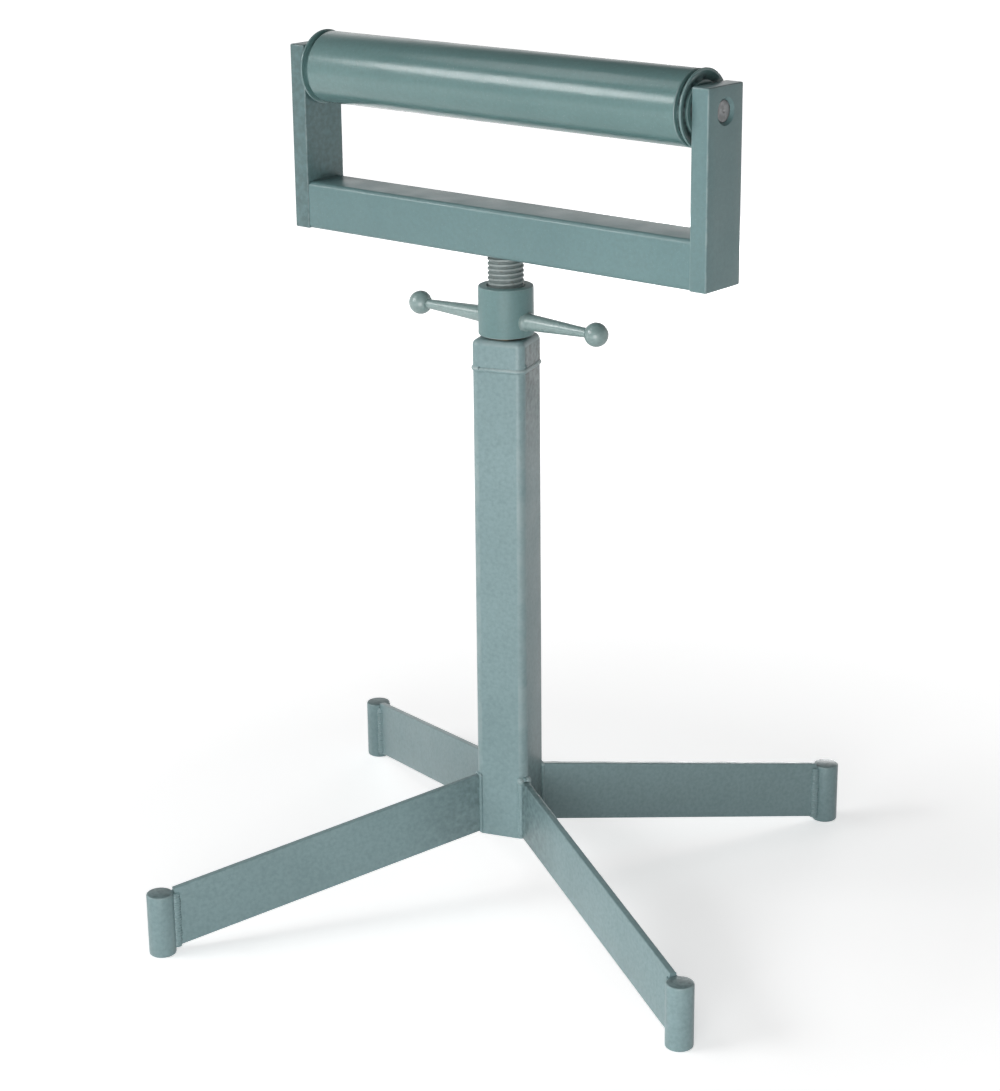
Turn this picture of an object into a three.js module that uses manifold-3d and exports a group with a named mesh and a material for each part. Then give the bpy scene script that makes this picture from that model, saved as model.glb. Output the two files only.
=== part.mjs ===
// A height-adjustable roller stand. Four flat-bar legs carry a square column, a collar nut with a
// two-armed handle screws a spindle up and down in it, and a swivelling head on top of the spindle
// holds a long steel roller on two ball bearings.
// Units are millimetres and +Z is up. The origin is on the floor under the column's axis, and X runs
// along the roller. The base stands turned under the head, which has been swung round on its pin.

import * as THREE from 'three';
import { mergeVertices } from 'three/addons/utils/BufferGeometryUtils.js';
import Module from 'manifold-3d';

const wasm = await Module();
wasm.setup();

// Clearances
const WELD_GAP = 0.3; // fit-up gap where two pieces are welded
const SEAT_GAP = 0.1; // gap under a face that rests on another
const PRESS_GAP = 0.15; // radial gap of a pressed or pushed fit
const RUNNING_GAP = 0.4; // radial gap of pieces that turn or slide on each other
const LEAST_CORNER = 0.5; // inside corner of a tube whose wall takes up its whole outside corner

// Feet: upright lengths of round bar
const FOOT_DIAMETER = 23;
const FOOT_HEIGHT = 55;
const FOOT_REACH = 320; // from the column's axis to a foot's axis
const FOOT_CHAMFER = 1.5;

// Legs: flat bar on edge, cut plumb at both ends
const LEG_THICKNESS = 6;
const LEG_HEIGHT = 53; // measured plumb
const LEG_SLOPE = 10.5; // degrees
const LEG_FLOOR_GAP = 4.5; // under the lower edge at the foot
const BASE_TURN = 18.8; // degrees from the head to the base

// Column: square tube with a welded cap
const COLUMN_SIDE = 46;
const COLUMN_WALL = 3.5;
const COLUMN_CORNER = 7;
const COLUMN_LENGTH = 418;
const COLUMN_OVERHANG = 2; // how far the tube reaches below the legs
const CAP_SIDE = 46.4;
const CAP_HEIGHT = 24.5;
const CAP_CORNER = 7;
const CAP_ROUND = 5; // rounding of the top edges, less than the corners
const CAP_PLUG = 15; // depth of the plug in the tube
const THRUST_WASHER_DIAMETER = 38;
const THRUST_WASHER_THICKNESS = 1.5;

// Thread, shared by the spindle and the nut
const THREAD_DIAMETER = 30;
const THREAD_PITCH = 4;
const THREAD_DEPTH = 2;
const THREAD_GAP = 0.45; // radial clearance in the nut
const THREAD_SHOWN = 25.7; // bare thread between the nut and the rail at rest
const LIFT_UP = 250; // travel above the rest position

// Nut with its handle
const NUT_DIAMETER = 46;
const NUT_HEIGHT = 41;
const NUT_CHAMFER = 1.2;
const HANDLE_HEIGHT = 13; // handle axis above the nut's lower face
const ARM_ROOT_DIAMETER = 14;
const ARM_TIP_DIAMETER = 8;
const ARM_PLAIN = 5; // untapered length next to the nut
const ARM_SOCKET_FLOOR = 3; // metal left between an arm's socket and the thread
const HANDLE_BALL_DIAMETER = 20;
const HANDLE_BALL_REACH = 94; // from the spindle's axis to a ball's centre
const HANDLE_BALL_FACE = 12; // flat round the arm
const HANDLE_BALL_BORE = 9; // depth of the arm's bore

// Spindle tail with its guide
const TAIL_LENGTH = 70;
const TAIL_RELIEF = 0.5; // radial step from the thread's root down to the tail
const SPIGOT_DIAMETER = 16;
const GUIDE_HEIGHT = 30;
const GUIDE_CORNER = 3;
const GUIDE_GAP = 0.5; // to each wall of the column
const GUIDE_CLAMP = 1; // how much shorter the spigot is than the guide
const GUIDE_WASHER_DIAMETER = 28;
const GUIDE_WASHER_THICKNESS = 2.5;
const BOLT_DIAMETER = 10;
const BOLT_ACROSS_FLATS = 17;
const BOLT_HEAD_HEIGHT = 6.4;
const BOLT_REACH = 20; // thread engaged in the spigot
const BOLT_HOLE_SPARE = 3; // drilled past the bolt's end

// Head: a cross rail between two uprights
const HEAD_OPENING = 401; // between the uprights
const RAIL_HEIGHT = 40;
const RAIL_DEPTH = 43;
const RAIL_WALL = 3;
const RAIL_CORNER = 4;
const UPRIGHT_THICKNESS = 16;
const UPRIGHT_DEPTH = 45;
const UPRIGHT_HEIGHT = 155.8;
const UPRIGHT_CORNER = 2;
const UPRIGHT_EDGE = 1.2;
const PIN_DIAMETER = 20; // swivel pin on top of the spindle
const PIN_LENGTH = 26;
const PIN_CHAMFER = 1.5;

// Axle with what sits on it
const AXLE_DIAMETER = 17;
const AXLE_DROP = 19.7; // axle axis below the uprights' tops
const AXLE_RECESS = 2; // axle ends inside the uprights' outer faces
const AXLE_CHAMFER = 1;
const AXLE_COUNTERSINK = 2.3; // radial width of the countersink in the uprights
const RETAINER_HEIGHT = 2.8; // how far a retaining ring stands above the axle
const RETAINER_THICKNESS = 1.2;
const RETAINER_GROOVE = 0.6;
const RETAINER_OPENING = 70; // degrees
const SPACER_WALL = 2;

// Roller: a tube on two turned end housings, whose flanges close its ends
const ROLLER_DIAMETER = 60;
const ROLLER_WALL = 3;
const ROLLER_EDGE = 1; // rounding of the tube's ends
const ROLLER_END_GAP = 3.7; // from each flange to its upright
const FLANGE_DIAMETER = 62;
const FLANGE_THICKNESS = 1.8;
const FLANGE_EDGE = 0.6; // rounding of the flange's rim
const FLANGE_LAND = 1.8; // radial width of the flange's outer face
const NECK_DIAMETER = 53; // between the flange and the tube
const NECK_LENGTH = 4.9;
const HOUSING_RECESS = 2.8; // floor of the dished recess, inside the flange's face
const RECESS_FLOOR = 1.5; // radial width of the recess's floor
const HUB_WALL = 4.2;
const HUB_RECESS = 0.3; // hub face inside the flange's face
const BEARING_STOP_HEIGHT = 2.5; // lip behind the bearing
const BEARING_STOP_THICKNESS = 3;

// Ball bearings
const BEARING_DIAMETER = 35;
const BEARING_WIDTH = 10;
const BEARING_RECESS = 3; // bearing face inside the flange's face
const BEARING_BALL_DIAMETER = 4.76;
const BEARING_BALL_COUNT = 8;
const BEARING_BALL_GAP = 0.25;
const RACE_STEP = 2.1; // from the ball circle to a race's shoulder
const CAGE_WALL = 2.2;
const SHIELD_THICKNESS = 0.6;
const SHIELD_INSET = 0.5;

// Facets
const LARGE_ROUND = 40;
const MEDIUM_ROUND = 28;
const SMALL_ROUND = 20;
const CORNER_STEPS = 2;
const THREAD_STEPS = 14;
const GROOVE_STEPS = 4;
const BALL_RINGS = 5;
const BALL_SIDES = 6;
const HANDLE_BALL_STEPS = 7;
const POCKET_SIDES = 10;

// Places that follow from the sizes
const cornerReach = COLUMN_SIDE / Math.SQRT2 - COLUMN_CORNER * (Math.SQRT2 - 1);
const legInner = cornerReach + WELD_GAP;
const legOuter = FOOT_REACH - FOOT_DIAMETER / 2 - WELD_GAP;
const legRise = (legOuter - legInner) * Math.tan(THREE.MathUtils.degToRad(LEG_SLOPE));
const columnBottom = LEG_FLOOR_GAP + legRise - COLUMN_OVERHANG;
const columnTop = columnBottom + COLUMN_LENGTH;
const columnBore = COLUMN_SIDE - 2 * COLUMN_WALL;
const columnBoreCorner = Math.max(COLUMN_CORNER - COLUMN_WALL, LEAST_CORNER);
const capBottom = columnTop + SEAT_GAP;
const capTop = capBottom + CAP_HEIGHT;
const washerBottom = capTop + SEAT_GAP;
const nutBottom = washerBottom + THRUST_WASHER_THICKNESS + SEAT_GAP;
const nutTop = nutBottom + NUT_HEIGHT;
const handleHeight = nutBottom + HANDLE_HEIGHT;
const threadTop = nutTop + THREAD_SHOWN;
const threadBottom = nutBottom - LIFT_UP - THREAD_PITCH;
const crestRadius = THREAD_DIAMETER / 2;
const rootRadius = crestRadius - THREAD_DEPTH;
const spindleBore = crestRadius + RUNNING_GAP;
const tailBottom = threadBottom - TAIL_LENGTH;
const spigotBottom = tailBottom - GUIDE_HEIGHT + GUIDE_CLAMP;
const guideBottom = tailBottom - SEAT_GAP - GUIDE_HEIGHT;
const guideWasherBottom = guideBottom - SEAT_GAP - GUIDE_WASHER_THICKNESS;
const boltHeadTop = guideWasherBottom - SEAT_GAP;
const railBottom = threadTop + SEAT_GAP;
const uprightTop = railBottom + UPRIGHT_HEIGHT;
const axleHeight = uprightTop - AXLE_DROP;
const axleRadius = AXLE_DIAMETER / 2;
const axleHalf = HEAD_OPENING / 2 + UPRIGHT_THICKNESS - AXLE_RECESS;
const rollerHalf = HEAD_OPENING / 2 - ROLLER_END_GAP;
const tubeHalf = rollerHalf - FLANGE_THICKNESS - NECK_LENGTH - SEAT_GAP;
const rollerRadius = ROLLER_DIAMETER / 2;
const rollerBore = rollerRadius - ROLLER_WALL;
const ballCircle = (AXLE_DIAMETER + BEARING_DIAMETER) / 4;
const ballPlane = BEARING_RECESS + BEARING_WIDTH / 2;
const bearingInner = BEARING_RECESS + BEARING_WIDTH;

// Materials
const paint = new THREE.MeshStandardMaterial({ color: 0x83a0a1, roughness: 0.42, metalness: 0.1 });
const bareSteel = new THREE.MeshStandardMaterial({ color: 0x8a8782, roughness: 0.38, metalness: 0.9 });
const bearingSteel = new THREE.MeshStandardMaterial({ color: 0xb9bcbe, roughness: 0.22, metalness: 1 });
const bronze = new THREE.MeshStandardMaterial({ color: 0xa9824a, roughness: 0.4, metalness: 0.9 });
const cagePlastic = new THREE.MeshStandardMaterial({ color: 0xd8d2be, roughness: 0.6, metalness: 0 });

// A closed geometry as a solid for cutting and joining.
function toSolid(geometry) {
  const bare = geometry.clone();
  bare.deleteAttribute('normal');
  bare.deleteAttribute('uv');
  const welded = mergeVertices(bare);
  const vertProperties = Float32Array.from(welded.attributes.position.array);
  const triVerts = Uint32Array.from(welded.index.array);
  return new wasm.Manifold(new wasm.Mesh({ numProp: 3, vertProperties, triVerts }));
}

// A solid back as a geometry.
function toGeometry(solid) {
  const mesh = solid.getMesh();
  const geometry = new THREE.BufferGeometry();
  geometry.setAttribute('position', new THREE.BufferAttribute(mesh.vertProperties, 3));
  geometry.setIndex(new THREE.BufferAttribute(mesh.triVerts, 1));
  return geometry;
}

function join(...geometries) {
  const solids = geometries.map(toSolid);
  return toGeometry(solids.reduce((whole, solid) => whole.add(solid)));
}

function cut(geometry, ...tools) {
  return toGeometry(tools.map(toSolid).reduce((whole, tool) => whole.subtract(tool), toSolid(geometry)));
}

// A body turned about Z from [radius, height] pairs that end on the axis or close on themselves.
function turned(profile, segments) {
  const points = profile.map(([radius, height]) => new THREE.Vector2(radius, height));
  return new THREE.LatheGeometry(points, segments).rotateX(Math.PI / 2);
}

function rod(radius, bottom, top, segments) {
  return turned([[0, bottom], [radius, bottom], [radius, top], [0, top]], segments);
}

function ring(inner, outer, bottom, top, segments) {
  return turned([[inner, bottom], [outer, bottom], [outer, top], [inner, top], [inner, bottom]], segments);
}

// Points on an arc of a profile, from one angle to the other, in degrees.
function arcPoints(centreRadius, centreHeight, radius, from, to, steps) {
  const points = [];
  for (let step = 0; step <= steps; step += 1) {
    const angle = THREE.MathUtils.degToRad(from + (to - from) * step / steps);
    points.push([centreRadius + radius * Math.cos(angle), centreHeight + radius * Math.sin(angle)]);
  }
  return points;
}

function roundedRectangle(width, height, radius) {
  const x = width / 2 - radius;
  const y = height / 2 - radius;
  const quarter = Math.PI / 2;
  const outline = new THREE.Shape();
  outline.absarc(x, y, radius, 0, quarter);
  outline.absarc(-x, y, radius, quarter, 2 * quarter);
  outline.absarc(-x, -y, radius, 2 * quarter, 3 * quarter);
  outline.absarc(x, -y, radius, 3 * quarter, 4 * quarter);
  return outline;
}

function extruded(outline, length, steps = CORNER_STEPS) {
  return new THREE.ExtrudeGeometry(outline, { depth: length, bevelEnabled: false, curveSegments: steps });
}

// An extrusion of the given length over all whose end edges are rounded.
function softExtruded(outline, length, edge, steps) {
  return new THREE.ExtrudeGeometry(outline, {
    depth: length - 2 * edge,
    bevelThickness: edge,
    bevelSize: edge,
    bevelOffset: -edge,
    bevelSegments: steps,
    curveSegments: CORNER_STEPS,
  }).translate(0, 0, edge);
}

// Lays an extrusion along X, with the outline's first axis along Y and its second along Z.
function alongX(geometry) {
  return geometry.rotateX(Math.PI / 2).rotateZ(Math.PI / 2);
}

// A right-hand thread as a rod with one helical row of crests and one of roots. Both rows are counted
// down from the spindle's shoulder, so that the spindle and the nut share one helix.
function threadedRod(crest, root, bottom, top) {
  const turnsDown = Math.ceil((threadTop - bottom) / THREAD_PITCH) + 1;
  const turnsUp = Math.ceil((top - threadTop) / THREAD_PITCH) + 1;
  const start = threadTop - turnsDown * THREAD_PITCH;
  const steps = (turnsDown + turnsUp) * THREAD_STEPS;
  const positions = [];
  const addPoint = (radius, step, raise) => {
    const angle = 2 * Math.PI * step / THREAD_STEPS;
    const height = start + THREAD_PITCH * (step / THREAD_STEPS + raise);
    positions.push(radius * Math.cos(angle), radius * Math.sin(angle), height);
  };
  const lastRoot = steps + THREAD_STEPS;
  for (let step = 0; step <= lastRoot; step += 1) {
    addPoint(root, step, 0);
  }
  for (let step = 0; step <= steps; step += 1) {
    addPoint(crest, step, 0.5);
  }
  const crestAt = (step) => lastRoot + 1 + step;
  const lowCentre = positions.length / 3;
  const highCentre = lowCentre + 1;
  positions.push(0, 0, start);
  positions.push(0, 0, start + THREAD_PITCH * lastRoot / THREAD_STEPS);
  const faces = [];
  for (let step = 0; step < steps; step += 1) {
    const over = step + THREAD_STEPS;
    faces.push(step, step + 1, crestAt(step + 1), step, crestAt(step + 1), crestAt(step));
    faces.push(crestAt(step), crestAt(step + 1), over + 1, crestAt(step), over + 1, over);
  }
  for (let step = 0; step < THREAD_STEPS; step += 1) {
    faces.push(lowCentre, step + 1, step);
    faces.push(highCentre, steps + step, steps + step + 1);
  }
  faces.push(lowCentre, crestAt(0), THREAD_STEPS, lowCentre, 0, crestAt(0));
  faces.push(highCentre, lastRoot, crestAt(steps), highCentre, crestAt(steps), steps);
  const geometry = new THREE.BufferGeometry();
  geometry.setAttribute('position', new THREE.Float32BufferAttribute(positions, 3));
  geometry.setIndex(faces);
  const trim = rod(crest + THREAD_PITCH, bottom, top, THREAD_STEPS);
  return toGeometry(toSolid(geometry).intersect(toSolid(trim)));
}

function foot() {
  const radius = FOOT_DIAMETER / 2;
  const profile = [
    [0, 0],
    [radius - FOOT_CHAMFER, 0],
    [radius, FOOT_CHAMFER],
    [radius, FOOT_HEIGHT - FOOT_CHAMFER],
    [radius - FOOT_CHAMFER, FOOT_HEIGHT],
    [0, FOOT_HEIGHT],
  ];
  return turned(profile, SMALL_ROUND).translate(FOOT_REACH, 0, 0);
}

function leg() {
  const outline = new THREE.Shape();
  outline.moveTo(legOuter, LEG_FLOOR_GAP);
  outline.lineTo(legOuter, LEG_FLOOR_GAP + LEG_HEIGHT);
  outline.lineTo(legInner, LEG_FLOOR_GAP + legRise + LEG_HEIGHT);
  outline.lineTo(legInner, LEG_FLOOR_GAP + legRise);
  return extruded(outline, LEG_THICKNESS).rotateX(Math.PI / 2).translate(0, LEG_THICKNESS / 2, 0);
}

function columnTube() {
  const outline = roundedRectangle(COLUMN_SIDE, COLUMN_SIDE, COLUMN_CORNER);
  outline.holes.push(roundedRectangle(columnBore, columnBore, columnBoreCorner));
  return extruded(outline, COLUMN_LENGTH).translate(0, 0, columnBottom);
}

// The cap's block is rounded at both ends and loses the lower rounding.
function columnCap() {
  const blockOutline = roundedRectangle(CAP_SIDE, CAP_SIDE, CAP_CORNER);
  const length = CAP_HEIGHT + 2 * CAP_ROUND;
  const block = softExtruded(blockOutline, length, CAP_ROUND, CORNER_STEPS).translate(0, 0, capTop - length);
  const waste = new THREE.BoxGeometry(2 * CAP_SIDE, 2 * CAP_SIDE, 4 * CAP_ROUND);
  waste.translate(0, 0, capBottom - 2 * CAP_ROUND);
  const plugSide = columnBore - 2 * WELD_GAP;
  const plugOutline = roundedRectangle(plugSide, plugSide, columnBoreCorner + WELD_GAP);
  const plug = extruded(plugOutline, CAP_PLUG + CAP_HEIGHT / 2).translate(0, 0, capBottom - CAP_PLUG);
  const bore = rod(spindleBore, capBottom - 2 * CAP_PLUG, capTop + CAP_HEIGHT, MEDIUM_ROUND);
  return cut(join(cut(block, waste), plug), bore);
}

function thrustWasher() {
  const top = washerBottom + THRUST_WASHER_THICKNESS;
  return ring(spindleBore, THRUST_WASHER_DIAMETER / 2, washerBottom, top, MEDIUM_ROUND);
}

// Where an arm ends in the nut's wall, measured from the spindle's axis.
const armInner = crestRadius + THREAD_GAP + ARM_SOCKET_FLOOR;

function nut() {
  const radius = NUT_DIAMETER / 2;
  const blank = turned([
    [0, nutBottom],
    [radius - NUT_CHAMFER, nutBottom],
    [radius, nutBottom + NUT_CHAMFER],
    [radius, nutTop - NUT_CHAMFER],
    [radius - NUT_CHAMFER, nutTop],
    [0, nutTop],
  ], LARGE_ROUND);
  const past = THREAD_PITCH;
  const tap = threadedRod(crestRadius + THREAD_GAP, rootRadius + THREAD_GAP, nutBottom - past, nutTop + past);
  const socketRadius = ARM_ROOT_DIAMETER / 2 + PRESS_GAP;
  const socket = rod(socketRadius, armInner - SEAT_GAP, 2 * radius, SMALL_ROUND).rotateY(Math.PI / 2);
  const right = socket.clone().translate(0, 0, handleHeight);
  const left = socket.clone().rotateZ(Math.PI).translate(0, 0, handleHeight);
  return cut(blank, tap, right, left);
}

const ballRadius = HANDLE_BALL_DIAMETER / 2;
const ballFaceRadius = HANDLE_BALL_FACE / 2;
const ballFace = HANDLE_BALL_REACH - Math.sqrt(ballRadius ** 2 - ballFaceRadius ** 2);

// A handle arm along +X: plain in its socket, then tapered to the ball.
function handleArm() {
  const root = ARM_ROOT_DIAMETER / 2;
  const tip = ARM_TIP_DIAMETER / 2;
  const profile = [
    [0, armInner],
    [root, armInner],
    [root, NUT_DIAMETER / 2 + ARM_PLAIN],
    [tip, ballFace - SEAT_GAP],
    [tip, ballFace + HANDLE_BALL_BORE - SEAT_GAP],
    [0, ballFace + HANDLE_BALL_BORE - SEAT_GAP],
  ];
  return turned(profile, SMALL_ROUND).rotateY(Math.PI / 2);
}

// A handle ball on +X, flat and bored where the arm enters.
function handleBall() {
  const bore = ARM_TIP_DIAMETER / 2 + PRESS_GAP;
  const faceAngle = THREE.MathUtils.radToDeg(Math.acos(ballFaceRadius / ballRadius));
  const profile = [
    [0, ballFace + HANDLE_BALL_BORE],
    [bore, ballFace + HANDLE_BALL_BORE],
    [bore, ballFace],
    ...arcPoints(0, HANDLE_BALL_REACH, ballRadius, -faceAngle, 90, HANDLE_BALL_STEPS),
  ];
  return turned(profile, SMALL_ROUND).rotateY(Math.PI / 2);
}

// The spindle: swivel pin, shoulder, thread, plain tail and the spigot that takes the guide.
function spindle() {
  const pin = PIN_DIAMETER / 2;
  const tail = rootRadius - TAIL_RELIEF;
  const spigot = SPIGOT_DIAMETER / 2;
  const pinTop = railBottom + PIN_LENGTH;
  const core = turned([
    [0, spigotBottom],
    [spigot, spigotBottom],
    [spigot, tailBottom],
    [tail, tailBottom],
    [tail, threadBottom + THREAD_PITCH],
    [pin, threadBottom + 2 * THREAD_PITCH],
    [pin, pinTop - PIN_CHAMFER],
    [pin - PIN_CHAMFER, pinTop],
    [0, pinTop],
  ], SMALL_ROUND);
  const thread = threadedRod(crestRadius, rootRadius, threadBottom, threadTop);
  const holeTop = boltHeadTop + BOLT_REACH + GUIDE_WASHER_THICKNESS + BOLT_HOLE_SPARE;
  const hole = rod(BOLT_DIAMETER / 2 + RUNNING_GAP, spigotBottom - GUIDE_HEIGHT, holeTop, SMALL_ROUND);
  return cut(join(core, thread), hole);
}

function spindleGuide() {
  const side = columnBore - 2 * GUIDE_GAP;
  const outline = roundedRectangle(side, side, GUIDE_CORNER);
  const block = extruded(outline, GUIDE_HEIGHT).translate(0, 0, guideBottom);
  const bore = rod(SPIGOT_DIAMETER / 2 + PRESS_GAP, guideBottom - 1, tailBottom + 1, SMALL_ROUND);
  return cut(block, bore);
}

function guideWasher() {
  const bore = BOLT_DIAMETER / 2 + RUNNING_GAP;
  const top = guideWasherBottom + GUIDE_WASHER_THICKNESS;
  return ring(bore, GUIDE_WASHER_DIAMETER / 2, guideWasherBottom, top, SMALL_ROUND);
}

function guideBolt() {
  const corner = BOLT_ACROSS_FLATS / 2 / Math.cos(Math.PI / 6);
  const head = rod(corner, boltHeadTop - BOLT_HEAD_HEIGHT, boltHeadTop, 6);
  const shankTop = boltHeadTop + GUIDE_WASHER_THICKNESS + BOLT_REACH;
  const shank = rod(BOLT_DIAMETER / 2, boltHeadTop - BOLT_HEAD_HEIGHT / 2, shankTop, SMALL_ROUND);
  return join(head, shank);
}

const railBoreCorner = Math.max(RAIL_CORNER - RAIL_WALL, LEAST_CORNER);

function rail() {
  const outline = roundedRectangle(RAIL_DEPTH, RAIL_HEIGHT, RAIL_CORNER);
  const boreDepth = RAIL_DEPTH - 2 * RAIL_WALL;
  const boreHeight = RAIL_HEIGHT - 2 * RAIL_WALL;
  outline.holes.push(roundedRectangle(boreDepth, boreHeight, railBoreCorner));
  const length = HEAD_OPENING - 2 * WELD_GAP;
  const tube = alongX(extruded(outline, length)).translate(-length / 2, 0, railBottom + RAIL_HEIGHT / 2);
  const holeRadius = PIN_DIAMETER / 2 + RUNNING_GAP;
  const hole = rod(holeRadius, railBottom - RAIL_WALL, railBottom + 2 * RAIL_WALL, MEDIUM_ROUND);
  return cut(tube, hole);
}

// The socket stands on the rail's floor, between its side walls, round the swivel pin. Its outer edges
// are chamfered clear of the rail's inside corners.
function swivelSocket() {
  const inner = PIN_DIAMETER / 2 + RUNNING_GAP;
  const outer = RAIL_DEPTH / 2 - RAIL_WALL - WELD_GAP;
  const bottom = railBottom + RAIL_WALL + SEAT_GAP;
  const top = railBottom + RAIL_HEIGHT - RAIL_WALL - WELD_GAP;
  const profile = [
    [inner, bottom],
    [outer - railBoreCorner, bottom],
    [outer, bottom + railBoreCorner],
    [outer, top - railBoreCorner],
    [outer - railBoreCorner, top],
    [inner, top],
    [inner, bottom],
  ];
  return turned(profile, MEDIUM_ROUND);
}

// An upright at the +X end of the rail, drilled and countersunk for the axle.
function upright() {
  const outline = roundedRectangle(UPRIGHT_DEPTH, UPRIGHT_HEIGHT, UPRIGHT_CORNER);
  const bar = alongX(softExtruded(outline, UPRIGHT_THICKNESS, UPRIGHT_EDGE, 1));
  bar.translate(HEAD_OPENING / 2, 0, railBottom + UPRIGHT_HEIGHT / 2);
  const outerFace = HEAD_OPENING / 2 + UPRIGHT_THICKNESS;
  const bore = axleRadius + PRESS_GAP;
  const drill = turned([
    [0, outerFace - 2 * UPRIGHT_THICKNESS],
    [bore, outerFace - 2 * UPRIGHT_THICKNESS],
    [bore, outerFace - AXLE_COUNTERSINK],
    [bore + 2 * AXLE_COUNTERSINK, outerFace + AXLE_COUNTERSINK],
    [0, outerFace + AXLE_COUNTERSINK],
  ], MEDIUM_ROUND).rotateY(Math.PI / 2).translate(0, 0, axleHeight);
  return cut(bar, drill);
}

// Where a retaining ring lies, measured along the axle from its middle.
const retainerOuter = HEAD_OPENING / 2 - SEAT_GAP;
const retainerInner = retainerOuter - RETAINER_THICKNESS;
const grooveRadius = axleRadius - RETAINER_GROOVE;

function axle() {
  const half = [
    [grooveRadius, retainerInner - SEAT_GAP],
    [grooveRadius, retainerOuter + SEAT_GAP],
    [axleRadius, retainerOuter + SEAT_GAP],
    [axleRadius, axleHalf - AXLE_CHAMFER],
    [axleRadius - AXLE_CHAMFER, axleHalf],
    [0, axleHalf],
  ];
  const right = [[axleRadius, retainerInner - SEAT_GAP], ...half];
  const left = right.map(([radius, place]) => [radius, -place]).reverse();
  return turned([...left, ...right], SMALL_ROUND).rotateY(Math.PI / 2);
}

// The pieces below belong to one end of the roller. They are turned about Z, with Z = 0 at the outer
// face of the flange and +Z running into the tube.

function retainer() {
  const half = THREE.MathUtils.degToRad(RETAINER_OPENING / 2);
  const outline = new THREE.Shape();
  outline.absarc(0, 0, axleRadius + RETAINER_HEIGHT, half, 2 * Math.PI - half);
  outline.absarc(0, 0, grooveRadius + PRESS_GAP, 2 * Math.PI - half, half, true);
  return extruded(outline, RETAINER_THICKNESS, SMALL_ROUND / 2).translate(0, 0, rollerHalf - retainerOuter);
}

function spacer() {
  const bore = axleRadius + PRESS_GAP;
  const bottom = rollerHalf - retainerInner + SEAT_GAP;
  return ring(bore, bore + SPACER_WALL, bottom, BEARING_RECESS - SEAT_GAP, SMALL_ROUND);
}

// Points along a ball groove, from one shoulder to the other: side is -1 on the inner race, 1 on the outer.
function groovePoints(side) {
  const radius = BEARING_BALL_DIAMETER / 2 + BEARING_BALL_GAP;
  const reach = THREE.MathUtils.radToDeg(Math.acos(RACE_STEP / radius));
  const middle = side > 0 ? 0 : 180;
  const from = middle - side * reach;
  const to = middle + side * reach;
  return arcPoints(ballCircle, ballPlane, radius, from, to, GROOVE_STEPS);
}

function innerRace() {
  const bore = axleRadius + PRESS_GAP;
  const shoulder = ballCircle - RACE_STEP;
  const profile = [
    [bore, BEARING_RECESS],
    [shoulder, BEARING_RECESS],
    ...groovePoints(-1),
    [shoulder, bearingInner],
    [bore, bearingInner],
    [bore, BEARING_RECESS],
  ];
  return turned(profile, SMALL_ROUND);
}

function outerRace() {
  const radius = BEARING_DIAMETER / 2;
  const shoulder = ballCircle + RACE_STEP;
  const profile = [
    [shoulder, BEARING_RECESS],
    [radius, BEARING_RECESS],
    [radius, bearingInner],
    [shoulder, bearingInner],
    ...groovePoints(1).reverse(),
    [shoulder, BEARING_RECESS],
  ];
  return turned(profile, SMALL_ROUND);
}

function shield() {
  const inner = ballCircle - RACE_STEP + RUNNING_GAP;
  const outer = ballCircle + RACE_STEP - PRESS_GAP;
  const bottom = BEARING_RECESS + SHIELD_INSET;
  return ring(inner, outer, bottom, bottom + SHIELD_THICKNESS, SMALL_ROUND);
}

function ballAngle(index) {
  return 2 * Math.PI * index / BEARING_BALL_COUNT;
}

function bearingBall(index) {
  const ball = new THREE.SphereGeometry(BEARING_BALL_DIAMETER / 2, BALL_SIDES, BALL_RINGS);
  return ball.translate(ballCircle, 0, 0).rotateZ(ballAngle(index)).translate(0, 0, ballPlane);
}

// The cage: a band between the races, drilled through for each ball.
function cage() {
  const half = BEARING_WIDTH / 2 - SHIELD_INSET - SHIELD_THICKNESS - RUNNING_GAP;
  const inner = ballCircle - CAGE_WALL / 2;
  const band = ring(inner, inner + CAGE_WALL, ballPlane - half, ballPlane + half, SMALL_ROUND);
  const pockets = [];
  for (let index = 0; index < BEARING_BALL_COUNT; index += 1) {
    const drill = rod(BEARING_BALL_DIAMETER / 2 + BEARING_BALL_GAP, inner / 2, 2 * ballCircle, POCKET_SIDES);
    pockets.push(drill.rotateY(Math.PI / 2).rotateZ(ballAngle(index)).translate(0, 0, ballPlane));
  }
  return cut(band, ...pockets);
}

// The end housing: a flange on a neck against the tube's end, a sleeve pushed into the tube, a dished
// recess round the hub that holds the bearing, and a stop behind the bearing.
function housing() {
  const flange = FLANGE_DIAMETER / 2;
  const rim = flange - FLANGE_EDGE;
  const neck = NECK_DIAMETER / 2;
  const neckEnd = FLANGE_THICKNESS + NECK_LENGTH;
  const sleeve = rollerBore - PRESS_GAP;
  const seat = BEARING_DIAMETER / 2 + PRESS_GAP;
  const hub = seat + HUB_WALL;
  const stop = seat - BEARING_STOP_HEIGHT;
  const stopFace = bearingInner + SEAT_GAP;
  const back = stopFace + BEARING_STOP_THICKNESS;
  const profile = [
    [seat, HUB_RECESS],
    [hub, HUB_RECESS],
    [hub, HOUSING_RECESS],
    [hub + RECESS_FLOOR, HOUSING_RECESS],
    [flange - FLANGE_LAND, 0],
    ...arcPoints(rim, FLANGE_EDGE, FLANGE_EDGE, -90, 0, CORNER_STEPS),
    ...arcPoints(rim, FLANGE_THICKNESS - FLANGE_EDGE, FLANGE_EDGE, 0, 90, CORNER_STEPS),
    [neck, FLANGE_THICKNESS],
    [neck, neckEnd],
    [sleeve, neckEnd],
    [sleeve, back],
    [stop, back],
    [stop, stopFace],
    [seat, stopFace],
    [seat, HUB_RECESS],
  ];
  return turned(profile, MEDIUM_ROUND);
}

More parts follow.
